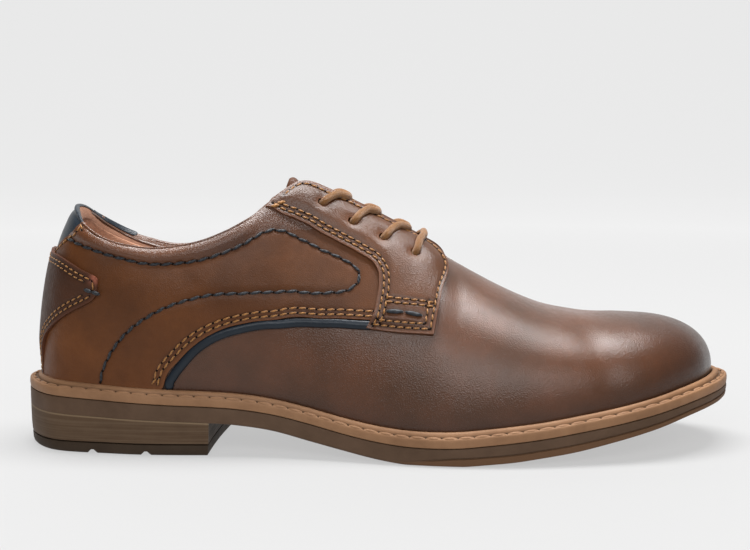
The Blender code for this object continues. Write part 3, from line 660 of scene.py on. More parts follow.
def strand(name, colour, deep, turns, roughness, sheen):
    """Twisted strand: slanting plies catch the light in turn, so it glints in fine stripes."""
    made, tree, shader, where = start_material(
        name, Roughness=roughness, IOR=1.5, Sheen_Weight=sheen, Sheen_Roughness=0.4)
    spread = add(tree, "TexCoord").outputs["UV"]
    laid = add(tree, "Mapping", {"Vector": spread, "Scale": turns})
    plies = add(tree, "TexWave", {"Vector": laid.outputs["Vector"], "Scale": 1.0, "Distortion": 0.3,
                                  "Detail": 1.0}, bands_direction="DIAGONAL", wave_profile="SIN")
    fuzz = add(tree, "TexNoise", {"Vector": where, "Scale": per(FUZZ_WIDTH), "Detail": 3.0})
    mixed = add(tree, "Math", {0: plies.outputs["Fac"], 1: fuzz.outputs["Fac"]}, operation="MULTIPLY")
    tint = add(tree, "MixRGB", {"Fac": mixed.outputs["Value"], "Color1": linear(deep),
                                "Color2": linear(colour)})
    tree.links.new(tint.outputs["Color"], shader.inputs["Base Color"])
    ribs = add(tree, "Bump", {"Height": plies.outputs["Fac"], "Strength": 0.75, "Distance": 0.18 * MM})
    tree.links.new(ribs.outputs["Normal"], shader.inputs["Normal"])
    return made


GOLD_THREAD = strand("gold_polyester_thread", "BC8038", "835726", (1.0, 1.6, 1.0), 0.5, 0.2)
NAVY_THREAD = strand("navy_cord_thread", "262E39", "0D1116", (1.0, 2.2, 1.0), 0.55, 0.15)
LACE_CORD = strand("waxed_lace_cord", "BC8248", "8E6032", (70.0, 1.5, 1.0), 0.48, 0.15)
print("strands:", GOLD_THREAD.name, NAVY_THREAD.name, LACE_CORD.name)

# %% Welt, rubber and needle-hole shadow materials
TINT_WIDTH = 18.0
SCORE_LENGTH = 60.0
SCORE_HEIGHT = 0.9


def moulded(name, colour, deep, rubbed, grit, roughness, lines=0.0):
    """Moulded rubber or resin: a dull even skin with fine grit, and level scored lines where asked.

    The grit that a mould leaves is about 0.1 mm and would not show, so it is drawn coarser.
    """
    made, tree, shader, where = start_material(name, IOR=1.5, Specular_IOR_Level=0.2)
    cloud = add(tree, "TexNoise", {"Vector": where, "Scale": per(TINT_WIDTH), "Detail": 4.0,
                                   "Roughness": 0.65})
    grains = add(tree, "TexNoise", {"Vector": where, "Scale": per(grit), "Detail": 2.0})
    level = add(tree, "Mapping", {
        "Vector": where, "Scale": (per(SCORE_LENGTH), per(SCORE_LENGTH), per(SCORE_HEIGHT))})
    streaks = add(tree, "TexNoise", {"Vector": level.outputs["Vector"], "Scale": 1.0, "Detail": 3.0,
                                     "Roughness": 0.7})
    lined = add(tree, "MapRange", {"Value": streaks.outputs["Fac"], "From Min": 0.42, "From Max": 0.62,
                                   "To Min": 0.0, "To Max": lines})
    cloudy = add(tree, "MapRange", {"Value": cloud.outputs["Fac"], "From Min": 0.35, "From Max": 0.68})
    base = add(tree, "MixRGB", {"Fac": cloudy.outputs["Result"], "Color1": linear(colour),
                                "Color2": linear(deep)})
    # The attribute "shade" darkens with painted shade: the welt's stitch channel and the heel's hollow
    # breast.
    shade = add(tree, "Attribute", attribute_name="shade")
    worn = add(tree, "Attribute", attribute_name="worn")
    chafed = add(tree, "MixRGB", {"Fac": worn.outputs["Fac"], "Color1": base.outputs["Color"],
                                  "Color2": linear(rubbed)})
    shade_painted = add(tree, "MixRGB", {"Fac": shade.outputs["Fac"], "Color1": chafed.outputs["Color"],
                                 "Color2": linear("24190F")})
    scored = add(tree, "MixRGB", {"Fac": lined.outputs["Result"], "Color1": shade_painted.outputs["Color"],
                                  "Color2": linear("7A6854")})
    tree.links.new(scored.outputs["Color"], shader.inputs["Base Color"])
    matt = add(tree, "MapRange", {"Value": cloud.outputs["Fac"], "From Min": 0.3, "From Max": 0.7,
                                  "To Min": roughness - 0.06, "To Max": roughness + 0.08})
    tree.links.new(matt.outputs["Result"], shader.inputs["Roughness"])
    rough = add(tree, "Math", {0: grains.outputs["Fac"], 1: lined.outputs["Result"]}, operation="ADD")
    skin = add(tree, "Bump", {"Height": rough.outputs["Value"], "Strength": 0.18, "Distance": 0.12 * MM})
    tree.links.new(skin.outputs["Normal"], shader.inputs["Normal"])
    return made


WELT_RESIN = moulded("tan_welt_resin", "936E50", "805E43", "AD8C6C", 0.7, 0.52)
SOLE_RUBBER = moulded("taupe_sole_rubber", "5A4535", "4F3C2D", "65472F", 0.6, 0.62)
STACK_RUBBER = moulded("scored_heel_rubber", "533F2D", "493626", "9A8468", 0.6, 0.62, 0.22)
LIFT_RUBBER = moulded("dark_lift_rubber", "3A2D21", "30251B", "4C3C2C", 0.5, 0.66)
WELT_NICK = moulded("welt_nick_shadow", "49321F", "3B2818", "49321F", 0.5, 0.8)
# Needle holes are not cut: a near-black bead in each is their painted shadow.
NEEDLE_HOLE_SHADOW = moulded("needle_hole_shadow", "140A06", "0C0603", "140A06", 0.5, 0.9)
print("materials:", len(bpy.data.materials))

# %% [markdown]
# ## Sole, heel and welt
# The sole is a rubber layer with a grooved edge, the heel a scored block over a dark top lift with
# two cross notches, and the welt a tan ring with a stitched band and a raised bead against the
# upper. All are rings round the sole's outline: each row of the grid is the outline moved in by a
# reach and set at a height, so the profile is a short table. The last rows close on the middle line.

# %% Rings round the sole
AROUND = np.linspace(-1.0, 1.0, 561)


def ring(reach, height, share=1.0, around=AROUND):
    """One row round the sole: in by a reach, at a height by place, drawn to the middle line by a share."""
    pair = sides(inset(EDGE, reach))
    t, y = on_sides(pair, around)
    _, opposite = on_sides(pair, -around)
    middle = (y + opposite) / 2.0
    return np.column_stack([t, middle + (y - middle) * share, height(t)])


def tread(t):
    """Height of the step between the sole's edge and its tread."""
    return sole_bottom(t) + table(SOLE_PROFILE, 3, t)


def above(line, rise):
    """A line of heights moved up by a rise, or down by a negative one."""
    return lambda t: line(t) + rise


def between(low, high, share):
    """A line of heights a share of the way from one line to another."""
    return lambda t: low(t) * (1.0 - share) + high(t) * share


# Where the sole's edge comes free of the heel, and where its groove deepens, along the shoe
HEEL_FRONT = (79.0, 92.0)
FOREPART = (150.0, 185.0)
FREE_EDGE = ramp(EDGE[:, 0], *HEEL_FRONT)
GROOVE_REACH = 0.05 + 0.75 * ramp(EDGE[:, 0], *FOREPART)
outsole_rows = [
    ring(1.0, sole_top, 0.0), ring(1.0, sole_top, 0.6), ring(0.7, sole_top),
    ring(0.15, above(sole_top, -0.15)), ring(0.0, above(sole_top, -0.6)),
    ring(0.0, between(sole_top, tread, 0.5)), ring(0.0, above(tread, 1.3)),
    ring(0.02 + 0.08 * FREE_EDGE, above(tread, 0.75)), ring(GROOVE_REACH, above(tread, 0.55)),
    ring(GROOVE_REACH, above(tread, 0.1)), ring(0.05 + 0.25 * FREE_EDGE, above(tread, -0.1)),
    ring(0.05 + 0.15 * FREE_EDGE, between(tread, sole_bottom, 0.4)),
    ring(0.05 + 0.35 * FREE_EDGE, lambda t: sole_bottom(t) + 0.25 * ramp(t, *HEEL_FRONT) + 0.02),
    ring(0.1 + 0.8 * FREE_EDGE, sole_bottom), ring(6.0, sole_bottom), ring(6.0, sole_bottom, 0.6),
    ring(6.0, sole_bottom, 0.0),
]
bm = carry_closed(outsole_rows)
spots = shoe_places(bm)
in_tread = ramp(tread(spots[:, 0]) - spots[:, 2], -0.3, 0.1) * ramp(spots[:, 0], 150.0, 175.0)
piece("outsole", bm, SOLE_RUBBER, ["outsole"], {"worn": 0.7 * in_tread}, sharp=40.0)

# %% Welt
WELT_BEAD = 3.3
WELT_BAND = EDGE_WELT - WELT_BEAD


def welt_row(share, bead, height):
    """A row of the welt: share of the flat band's width, or reach over the bead, above the sole."""
    return ring(share * WELT_BAND + bead, above(sole_top, height))


# share of the band's width, reach past it, height above the sole
WELT_ROWS = (
    (0.0, 0.4, 0.25), (0.0, 0.1, 0.4), (0.0, 0.0, 0.9), (0.0, -0.1, 1.8), (0.0, -0.1, 2.8),
    (0.0, 0.0, 3.5), (0.0, 0.14, 3.95), (0.0, 0.42, 4.27), (0.3, 0.5, 4.38), (0.5, 0.45, 4.18),
    (0.7, 0.4, 4.02), (0.85, 0.25, 3.95), (1.0, 0.0, 3.98), (1.0, 0.12, 4.5), (1.0, 0.3, 5.1),
    (1.0, 0.6, 5.68), (1.0, 1.05, 6.12), (1.0, 1.6, 6.32), (1.0, 2.2, 6.28), (1.0, 2.7, 6.0),
    (1.0, 3.0, 5.4), (1.0, 3.0, 0.25), (0.0, 0.4, 0.25),
)
bm = carry_closed([welt_row(*row) for row in WELT_ROWS])
channel = place(np.vstack([welt_row(0.7, 0.3, 4.02), welt_row(1.0, 0.0, 3.98)]))
# Painted shade in the channel beside the moulded stitches.
channel_shade = np.exp(-(distance_to(bm, channel) / 0.65) ** 2)
piece("welt", bm, WELT_RESIN, ["welt"], {"shade": 0.68 * channel_shade})

# %% Heel block and top lift
BREAST_OUTER = 81.5
BREAST_INNER = 86.4
BREAST_HOLLOW = 0.8
BREAST_DRAFT = 0.5
LIFT_HEIGHT = 4.6
NOTCHES = (32.0, 55.0)
NOTCH_WIDTH = 8.0
NOTCH_DEPTH = 1.7
NOTCH_REACH = 130.0
NOTCH_CREST = 0.15


def heel_row(reach, height, count=90):
    """Outline of the heel, with a hollow breast whose inner corner stands forward: in by a reach."""
    outer, inner = sides(inset(EDGE, reach))
    turn = np.linspace(0.0, 1.0, count) ** 1.5
    out_t = outer[0, 0] + (BREAST_OUTER - BREAST_DRAFT * reach - outer[0, 0]) * turn
    in_t = inner[0, 0] + (BREAST_INNER - BREAST_DRAFT * reach - inner[0, 0]) * turn
    out = np.column_stack([out_t, np.interp(out_t, outer[:, 0], outer[:, 1])])
    back = np.column_stack([in_t, np.interp(in_t, inner[:, 0], inner[:, 1])])
    share = np.linspace(0.0, 1.0, 26)[1:-1, None]
    breast = out[-1] * (1.0 - share) + back[-1] * share
    breast[:, 0] -= BREAST_HOLLOW * np.sin(share[:, 0] * math.pi)
    loop = np.vstack([out, breast, back[::-1]])
    z = height(loop[:, 0]) if callable(height) else np.full(len(loop), height)
    return np.column_stack([loop, z])


def heel_piece(rows):
    """A closed solid from a table of heel outlines: the two open ends are filled."""
    made = carry(np.array([heel_row(*row) for row in rows]))
    rims = [e for e in made.edges if e.is_boundary]
    bmesh.ops.edgeloop_fill(made, edges=rims)
    bmesh.ops.recalc_face_normals(made, faces=made.faces)
    return made


# reach in from the sole's edge, height or line of heights
BLOCK_ROWS = (
    (0.6, above(sole_bottom, -0.05)), (0.12, above(sole_bottom, -0.1)), (0.05, above(sole_bottom, -0.45)),
    (0.05, above(sole_bottom, -0.9)), (0.2, 9.0), (0.45, LIFT_HEIGHT + 0.9), (0.6, LIFT_HEIGHT + 0.5),
    (1.1, LIFT_HEIGHT + 0.3),
)
LIFT_ROWS = (
    (1.2, LIFT_HEIGHT), (0.7, LIFT_HEIGHT - 0.2), (0.55, LIFT_HEIGHT - 0.7), (0.7, 1.9), (1.0, 0.8),
    (1.5, 0.2), (2.1, 0.0),
)
bm = heel_piece(BLOCK_ROWS)
spots = shoe_places(bm)
outer, inner = sides(EDGE)
off_outer = spots[:, 1] - np.interp(spots[:, 0], outer[:, 0], outer[:, 1])
off_inner = np.interp(spots[:, 0], inner[:, 0], inner[:, 1]) - spots[:, 1]
off_side = np.minimum(off_outer, off_inner)
# Painted shade in the heel's hollow breast, under the sole.
breast_shade = ramp(off_side, 1.2, 2.6) * ramp(spots[:, 0], 74.0, 77.0)
top_seam = np.exp(-((sole_bottom(spots[:, 0]) - 0.3 - spots[:, 2]) / 0.35) ** 2)
paint = {"worn": 0.55 * top_seam, "shade": 0.85 * breast_shade}
piece("heel_block", bm, STACK_RUBBER, ["heel_block"], paint, sharp=38.0)
bm = heel_piece(LIFT_ROWS)
lift = piece("heel_top_lift", bm, LIFT_RUBBER, ["heel_top_lift"], sharp=38.0)

# %% Notches under the heel
def cut_away(obj, made):
    """Takes a bmesh's shape out of an object, and settles the result in its mesh."""
    mesh = bpy.data.meshes.new("cutter")
    made.to_mesh(mesh)
    made.free()
    cutter = bpy.data.objects.new("cutter", mesh)
    scene.collection.objects.link(cutter)
    tool = obj.modifiers.new("cut", "BOOLEAN")
    tool.operation = "DIFFERENCE"
    tool.solver = "EXACT"
    tool.object = cutter
    settled = bpy.data.meshes.new_from_object(obj.evaluated_get(bpy.context.evaluated_depsgraph_get()))
    obj.modifiers.clear()
    obj.data = settled
    bpy.data.objects.remove(cutter)


bm = bmesh.new()
for middle in NOTCHES:
    bar = bmesh.ops.create_cube(bm, size=1.0)["verts"]
    bmesh.ops.scale(bm, vec=np.array([NOTCH_WIDTH, NOTCH_REACH, 2.0 * NOTCH_DEPTH]) * MM, verts=bar)
    crest = [v for v in bar if v.co.z > 0.0]
    bmesh.ops.scale(bm, vec=(NOTCH_CREST, 1.0, 1.0), verts=crest)
    bmesh.ops.translate(bm, vec=place([(middle, 0.0, 0.0)])[0], verts=bar)
bmesh.ops.recalc_face_normals(bm, faces=bm.faces)
cut_away(lift, bm)
print("lift after its notches:", len(lift.data.polygons), "faces")

# %% [markdown]
# ## Footbed
# The insole fills the inside of the welt, a leather-covered board that dishes a little under the
# heel. It shows only from above, through the collar.

# %% Footbed
INSOLE_REACH = EDGE_WELT + 2.4
INSOLE_TOP = 3.9
DISH_DEPTH = 0.9
DISH_MIDDLE = 42.0
DISH_LENGTH = 26.0


def dish(t):
    """Height of the footbed's face, lower under the heel."""
    return sole_top(t) + INSOLE_TOP - DISH_DEPTH * np.exp(-((t - DISH_MIDDLE) / DISH_LENGTH) ** 2)


insole_rows = [
    ring(INSOLE_REACH, dish, 0.0), ring(INSOLE_REACH, dish, 0.4), ring(INSOLE_REACH, dish, 0.75),
    ring(INSOLE_REACH, above(sole_top, INSOLE_TOP - 0.1), 0.95),
    ring(INSOLE_REACH, above(sole_top, INSOLE_TOP - 0.4)), ring(INSOLE_REACH, above(sole_top, 0.3)),
    ring(INSOLE_REACH, above(sole_top, 0.3), 0.0),
]
piece("insole", carry_closed(insole_rows), INSOLE_LEATHER, ["insole"])

# %% [markdown]
# ## Seam lines
# Before any panel is cut, a maker marks its seams. Each one is a line of places on the last. The
# edges come from short tables of where a panel starts and ends, drawn finer than the edges of the
# solids and up to 2 or 3 mm from them. A row of stitches is an edge moved in by its margin, so rows
# stay parallel to the edges they hold.

# %% Panel edges
# low along, low height, high along, high height; None is the welt below, the upper's edge above,
# or the back seam
QUARTER = (
    (None, None, None, 80.0), (8.2, None, 14.2, 82.6), (11.0, None, 16.0, 84.7), (17.0, None, 19.5, 88.0),
    (25.0, None, 23.0, 90.8), (29.0, None, 25.9, 92.5), (31.5, None, 28.4, 93.7),
    (34.0, None, 31.0, None), (44.0, None, 42.0, None), (52.0, None, 50.0, None), (56.5, None, 56.0, None),
    (60.8, None, 60.0, None), (64.4, 34.4, 64.5, None), (69.2, 40.0, 70.0, None), (74.5, 45.4, 76.0, None),
    (80.6, 49.9, 83.0, None), (87.6, 53.3, 91.0, None), (98.2, 55.9, 102.0, None), (111.0, 57.1, 115.0, None),
    (126.0, 57.4, 129.0, None), (138.0, 57.3, 141.0, None), (150.0, 56.8, 154.0, None),
    (170.0, 55.2, 173.5, None),
)
EYESTAY = (
    (105.0, 101.6, 108.5, None), (110.0, 99.8, 113.0, None), (117.0, 96.8, 121.0, None),
    (123.0, 93.9, 128.0, None), (133.4, 88.0, 139.0, None), (143.8, 82.4, 153.0, None),
    (149.2, 79.0, 163.0, None), (151.6, 75.4, 172.5, None), (152.2, 70.0, 180.2, 77.8),
    (151.4, 64.2, 178.0, 67.4), (150.0, 58.4, 176.2, 59.4), (147.2, 53.6, 174.7, 51.4),
)
COUNTER = (
    (None, None, None, 81.8), (8.6, None, 13.4, 81.9), (9.4, 37.5, 15.2, 82.0), (10.2, 42.2, 17.0, 81.9),
    (12.2, 47.5, 19.2, 81.5), (16.0, 52.3, 21.8, 80.6), (20.4, 56.5, 25.2, 78.9), (25.4, 60.0, 28.6, 77.1),
    (30.6, 62.8, 32.4, 75.4), (34.2, 65.0, 34.9, 74.2), (35.8, 67.2, 36.1, 73.2),
)
HEEL_TAB = (
    (None, 78.6, None, None), (15.0, 81.6, 24.8, None), (18.5, 84.6, 26.4, None),
    (22.5, 87.8, 28.6, None), (27.5, 90.4, 31.0, None),
)
PIPING = (
    (65.0, 29.6), (66.9, 33.4), (70.9, 38.6), (75.8, 44.0), (81.7, 48.3), (88.5, 51.4),
    (94.7, 53.1), (104.9, 54.8), (115.3, 55.3), (125.8, 55.5), (136.3, 55.4), (150.0, 54.8),
)
NAVY_LINE = (
    (22.1, 88.9), (30.3, 86.1), (37.3, 84.1), (44.8, 82.2), (52.7, 80.2), (60.0, 79.4), (68.6, 79.7),
    (77.8, 81.0), (86.9, 83.6), (95.8, 87.4), (103.6, 91.8), (108.0, 92.9), (112.0, 92.4), (116.7, 90.3),
    (125.7, 85.9), (135.1, 81.6), (139.2, 79.5), (142.8, 76.8), (144.0, 74.2), (143.2, 71.4), (141.1, 69.5),
    (137.7, 68.1), (133.0, 67.6), (121.4, 67.6), (107.9, 68.0), (98.8, 67.9), (78.5, 66.5), (66.1, 62.9),
    (53.6, 56.2), (45.0, 48.4), (39.1, 39.6), (36.8, 34.4), (35.8, 29.8),
)
FACING_BAR = ((155.0, 59.8), (162.0, 59.4), (170.4, 58.0))
FACING_TACK = ((107.3, 101.4), (109.6, 102.6), (112.0, 103.8))
COUNTER_END = ((33.9, 72.4), (34.3, 70.4), (33.9, 68.4))
COUNTER_BAR = ((30.6, 69.0), (37.4, 67.2))
BACK_SEAM = 0.002


def mark(points, sign, step=0.7):
    """A line of places on one side, through points given along the shoe and by height."""
    return trace([locate(t, z, sign) for t, z in points], step)


def edges_of(rows, side, high_edge):
    """Low and high places of a panel's table on one side."""
    lows, highs = [], []
    for low_t, low_z, high_t, high_z in rows:
        lows.append(locate(low_t, low_z, side, WELT_TUCK))
        highs.append(locate(high_t, high_z, side, high_edge))
    return np.array(lows), np.array(highs)


def round_heel(lows, highs):
    """A panel's places carried round the back of the heel to the inner side."""
    flip = np.array([-1.0, 1.0])
    return np.vstack([lows[:0:-1] * flip, lows]), np.vstack([highs[:0:-1] * flip, highs])


SIDES = {"outer": 1.0, "inner": -1.0}
quarter_edges = {side: edges_of(QUARTER, sign, ROLL_START) for side, sign in SIDES.items()}
for side, sign in SIDES.items():
    for edge in quarter_edges[side]:
        edge[0, 0] = sign * BACK_SEAM
eyestay_edges = {side: edges_of(EYESTAY, sign, 0.993) for side, sign in SIDES.items()}
counter_edges = round_heel(*edges_of(COUNTER, 1.0, 0.99))
tab_edges = round_heel(*edges_of(HEEL_TAB, 1.0, ROLL_START))
print("panel edges found")

# %% Rows of stitches
MARGIN = 1.6
ARC_MORE = 0.85
FACING_MARGIN = 2.0
ROW_GAP = 2.0
COUNTER_MARGIN = 2.0
COUNTER_GAP = 1.8
BOX_HEIGHT = 14.0


def end_of(line, length):
    """The last part of a line of places, of a given length."""
    run = run_of(surface(*line.T))
    return line[run >= run[-1] - length]


gold_on_quarter, gold_on_facing, navy_on_quarter, navy_on_facing, tack_on_facing = [], [], [], [], []
for side, sign in SIDES.items():
    low, high = quarter_edges[side]
    arc = trace(low[10:-1])
    wider = ARC_MORE * (1.0 - ramp(surface(*arc.T)[:, 0], 70.0, 92.0))
    for margin in (MARGIN, MARGIN + ROW_GAP):
        gold_on_quarter.append(beside(arc, sign * (margin + wider), (3.2, 0.0)))
    tab_seam = trace(high[1:8])
    gold_on_quarter.append(beside(tab_seam, -sign * MARGIN, (0.0, 1.0)))
    navy_on_quarter.append(mark(NAVY_LINE, sign))
    low, high = eyestay_edges[side]
    low_line = trace(low)
    high_line = trace(high)
    foot_line = trace(np.linspace(low[-1], high[-1], 6))
    inner_margin = FACING_MARGIN + ROW_GAP
    for margin, start in ((FACING_MARGIN, 2.2), (inner_margin, 7.0)):
        gold_on_facing.append(beside(low_line, sign * margin, (start, margin)))
        gold_on_facing.append(beside(foot_line, sign * margin, (margin, margin)))
    gold_on_facing.append(beside(high_line, -sign * MARGIN, (3.4, FACING_MARGIN)))
    box_side = beside(high_line, -sign * inner_margin, (0.0, inner_margin))
    gold_on_facing.append(end_of(box_side, BOX_HEIGHT - inner_margin))
    for rise in (BOX_HEIGHT, BOX_HEIGHT - ROW_GAP):
        gold_on_facing.append(beside(foot_line, sign * rise, (inner_margin + 0.8, 0.6)))
    navy_on_facing.append(mark(FACING_BAR, sign))
    tack_on_facing.append(mark(FACING_TACK, sign))
gold_on_counter = []
counter_low, counter_high = trace(counter_edges[0]), trace(counter_edges[1])
for margin in (COUNTER_MARGIN, COUNTER_MARGIN + COUNTER_GAP):
    gold_on_counter.append(beside(counter_high, -margin, (margin, margin)))
    gold_on_counter.append(beside(counter_low, margin, (margin, margin)))
gold_on_counter += [mark(COUNTER_END, sign, 0.5) for sign in SIDES.values()]
navy_on_counter = [mark(COUNTER_BAR, sign) for sign in SIDES.values()]
print("rows:", len(gold_on_quarter) + len(gold_on_facing) + len(gold_on_counter), "gold,",
      len(navy_on_quarter) + len(navy_on_facing) + len(navy_on_counter), "navy")

# %% [markdown]
# ## Eyelets and the lace's path
# The lace is one cord. It starts behind the top eyelet of the outer side, lies on the facing, goes
# over its edge and forward across the gap, dives under the other facing and comes up through the
# next eyelet. At the front a bar joins both sides, and the way back mirrors the way down. Its path
# comes before the facings, because the cord presses a soft dent into them.

# %% Eyelets and lace path
# along the shoe, drop below the facing's edge
EYELETS = ((127.5, 5.5), (140.3, 7.4), (153.3, 7.4), (166.6, 6.7))
EYELET_RADIUS = 1.9
LACE_RADIUS = 1.65
QUARTER_LIFT = 1.5
FACING_LIFT = 3.0


def eyelet(number, side):
    """The (w, v) of an eyelet on one side."""
    t, drop = EYELETS[number]
    rim = surface(*locate(t, None, edge=1.0))
    return locate(t, rim[2] - drop, side)


def on_facing(side, t, v, height):
    """A place above the facing: along the shoe, share of the way up, height over its face."""
    w, _ = locate(t, None, side, v)
    return lifted(w, v, FACING_LIFT + height)


def lace_leg(number, side, over):
    """From an eyelet over the facing and the gap to behind the next eyelet of the other side."""
    w, v = eyelet(number, side)
    t = EYELETS[number][0]
    ridge = surface(*locate(t + 11.8, None, edge=1.0))
    under = surface(*locate(t + 14.3, None, -side, 1.0))
    next_w, next_v = eyelet(number + 1, -side)
    return [
        lifted(w, v, -3.6), lifted(w, v, 0.2), on_facing(side, t + 1.0, v + 0.012, 0.3),
        on_facing(side, t + 3.4, v + 0.36 * (0.98 - v), 1.0),
        on_facing(side, t + 6.4, v + 0.72 * (0.98 - v), 1.0),
        on_facing(side, t + 9.2, 0.985, 0.6),
        np.array([ridge[0], side * 1.2, ridge[2] + 1.6 + over]),
        np.array([under[0], under[1] * 0.55, under[2] - 1.6 + 0.4 * over]),
        lifted(next_w, min(next_v + 0.06, 0.97), -3.9),
    ]


def lace_bar():
    """The bar over the gap between the front eyelets, from the inner side to the outer."""
    t = EYELETS[-1][0]
    half = {}
    for side in (1.0, -1.0):
        w, v = eyelet(3, side)
        half[side] = [
            lifted(w, v, -3.6), lifted(w, v, 0.2), on_facing(side, t + 0.5, v + 0.012, 0.35),
            on_facing(side, t + 1.6, v + 0.5 * (0.98 - v), 1.25), on_facing(side, t + 3.0, 0.985, 1.1),
        ]
    top = (half[1.0][-1] + half[-1.0][-1]) / 2.0 + np.array([0.2, 0.0, 0.9])
    return half[-1.0] + [top] + half[1.0][::-1]


lace_points = lace_leg(0, 1.0, 0.2) + lace_leg(1, -1.0, -1.4) + lace_leg(2, 1.0, 0.0)
lace_points += lace_bar()
for number, side, over in ((2, -1.0, -1.4), (1, 1.0, 0.0), (0, -1.0, -1.4)):
    lace_points += lace_leg(number, side, over)[::-1]
lace_points = np.array(lace_points)
lace_run = run_of(lace_points)
LACE_STEPS = int(lace_run[-1] / 0.7)
lace_at = np.linspace(0.0, lace_run[-1], LACE_STEPS)
lace_path = np.column_stack([smooth(lace_run, lace_points[:, i], lace_at) for i in range(3)])
print("lace length between its hidden ends:", round(run_of(lace_path)[-1]), "mm")

# %% [markdown]
# ## Upper and lining
# The upper is one sheet of leather over the whole last, open at the collar and the throat. Its soft
# creases are given one by one: a shallow hollow behind the toe, and flex lines at the ball. The
# lining is a second sheet inside, thicker at the collar where the padding lies, and it rolls over
# the topline to meet the outer leather.

# %% Upper
CREASES = (
    (((248.0, 26.0), (246.0, 38.0), (239.0, 52.0)), 0.85, 7.0),
    (((214.0, 20.0), (215.0, 33.0), (211.0, 46.0)), 0.16, 8.0),
    (((196.0, 19.0), (198.0, 32.0), (195.0, 46.0)), 0.14, 8.0),
)
WALL = 1.4
CREASED_FROM = 150.0
THROAT_END = 186.0
# Where the vamp's ridge is smoothed: from a place along, about its middle line, above a height
CREST_FROM = 189.0
CREST_MIDDLE = 2.5
CREST_HALF = 7.0
CREST_LOW = 50.0
CREST_ROUNDS = 12
upper_w = AROUND[None, :]
upper_v = np.concatenate([np.linspace(-0.16, 0.0, 4)[:-1], np.linspace(0.0, 1.0, 79)])[:, None]
collar_low = 1.0 - 0.05 * (1.0 - ramp(foot(upper_w)[0], 100.0, 112.0))
upper_v = np.where(upper_v > 0.0, upper_v * collar_low, upper_v)
upper_places = surface(upper_w, upper_v)
dents = []
for points, depth, width in CREASES:
    for sign in SIDES.values():
        line = mark(points, sign, 2.0)
        dents.append((surface(*line.T), depth, width))
shown = upper_places[..., 0] > CREASED_FROM
down = np.zeros(upper_places.shape[:2])
down[shown] = hollow(upper_places[shown], dents)
upper_places = upper_places - normal(upper_w, upper_v) * down[..., None]
closed = (foot(upper_w)[0][0] > THROAT_END)[:, None]
mirrored = (upper_places[-1] + upper_places[-1, ::-1]) / 2.0
upper_places[-1] = np.where(closed, mirrored, upper_places[-1])


def punch(made, height, radius):
    """Cuts the eyelets out of a sheet and draws the rims of the holes to circles."""
    for side in SIDES.values():
        for number in range(len(EYELETS)):
            w, v = eyelet(number, side)
            centre = Vector(place(lifted(w, v, height)))
            axis = Vector(normal(w, v))
            near = [f for f in made.faces if (f.calc_center_median() - centre).length < radius * MM]
            if not near:
                continue
            bmesh.ops.delete(made, geom=near, context="FACES")
            for vert in made.verts:
                out = vert.co - centre
                if vert.is_boundary and out.length < 1.9 * radius * MM:
                    flat = out - axis * out.dot(axis)
                    vert.co += flat.normalized() * (radius * MM) - flat


bm = carry(upper_places)
face_out(bm)
punch(bm, 0.0, EYELET_RADIUS + 0.3)
crest_x, _, crest_z = place((CREST_FROM, 0.0, CREST_LOW))
crest = [v for v in bm.verts if v.co.x > crest_x and v.co.z > crest_z
         and abs(v.co.y - CREST_MIDDLE * MM) < CREST_HALF * MM]
for _ in range(CREST_ROUNDS):
    bmesh.ops.smooth_vert(bm, verts=crest, factor=0.5, use_axis_x=True, use_axis_y=True, use_axis_z=True)
spots = shoe_places(bm)
# Painted shade: the upper is darkened under the edges of the facings and quarters that lie over it. It is
# also darker towards the welt, and the toe is burnished darker.
toe = ramp(spots[:, 0] + 0.35 * spots[:, 2], 255.0, 312.0)
low = np.exp(-np.maximum(spots[:, 2] - sole_top(spots[:, 0]) - SKIRT, 0.0) / 5.0)
rims = [edge for pair in eyestay_edges.values() for edge in pair]
rims += [pair[0][10:] for pair in quarter_edges.values()]
rim_places = np.vstack([place(lifted(*trace(edge).T, 0.5)) for edge in rims])
under = np.exp(-distance_to(bm, rim_places) / 2.2)
upper = piece("upper", bm, VAMP_LEATHER, ["upper"],
              {"shade": np.clip(0.6 * toe + 0.3 * low + 0.4 * under, 0.0, 0.8)})
thicken(upper, WALL, 0.0)

# %% Collar roll and lining
PADDING = 2.4
CUSHION = 2.6
LEATHER_TURN = 0.56


def collar_share(w):
    """1 where the collar is padded, 0 at the facings and in front of them."""
    return 1.0 - ramp(foot(w)[0], 95.0, 105.0)


def inner_depth(w, v):
    """Depth of the lining's face under the outer face of the last."""
    cushion = CUSHION * np.exp(-((np.asarray(v) - 0.58) / 0.2) ** 2)
    return 2.0 + collar_share(w) * (PADDING * ramp(v, 0.2, 0.6) + cushion)


def roll(w, turn, height, proud=0.0):
    """Over the padded topline: turn 0 is the outer face, 1 the lining's; at the facings it stays flat."""
    start = lifted(w, np.full_like(w, ROLL_START), height)
    end = lifted(w, np.full_like(w, ROLL_START), -inner_depth(w, ROLL_START))
    rise = rim_height(w) + 0.6 + proud - (start[..., 2] + end[..., 2]) / 2.0
    angle = turn * math.pi
    half = (start - end) / 2.0
    wider = 1.0 + proud * np.sin(angle) ** 2 / np.linalg.norm(half, axis=-1)
    arc = (start + end) / 2.0 + half * (wider * np.cos(angle))[..., None]
    arc[..., 2] += rise * np.sin(angle)
    flat_v = ROLL_START + (0.985 - ROLL_START) * np.clip(turn / LEATHER_TURN, 0.0, 1.0)
    flat = lifted(w, flat_v, height)
    share = collar_share(w)[..., None]
    return arc * share + flat * (1.0 - share)


COLLAR_PUFF = 0.9
COLLAR_FRONT = 112.0


def collar_seam(line):
    """The part of a navy line that runs under the padded collar."""
    return line[: int(np.argmax(surface(*line.T)[:, 0] > COLLAR_FRONT))]


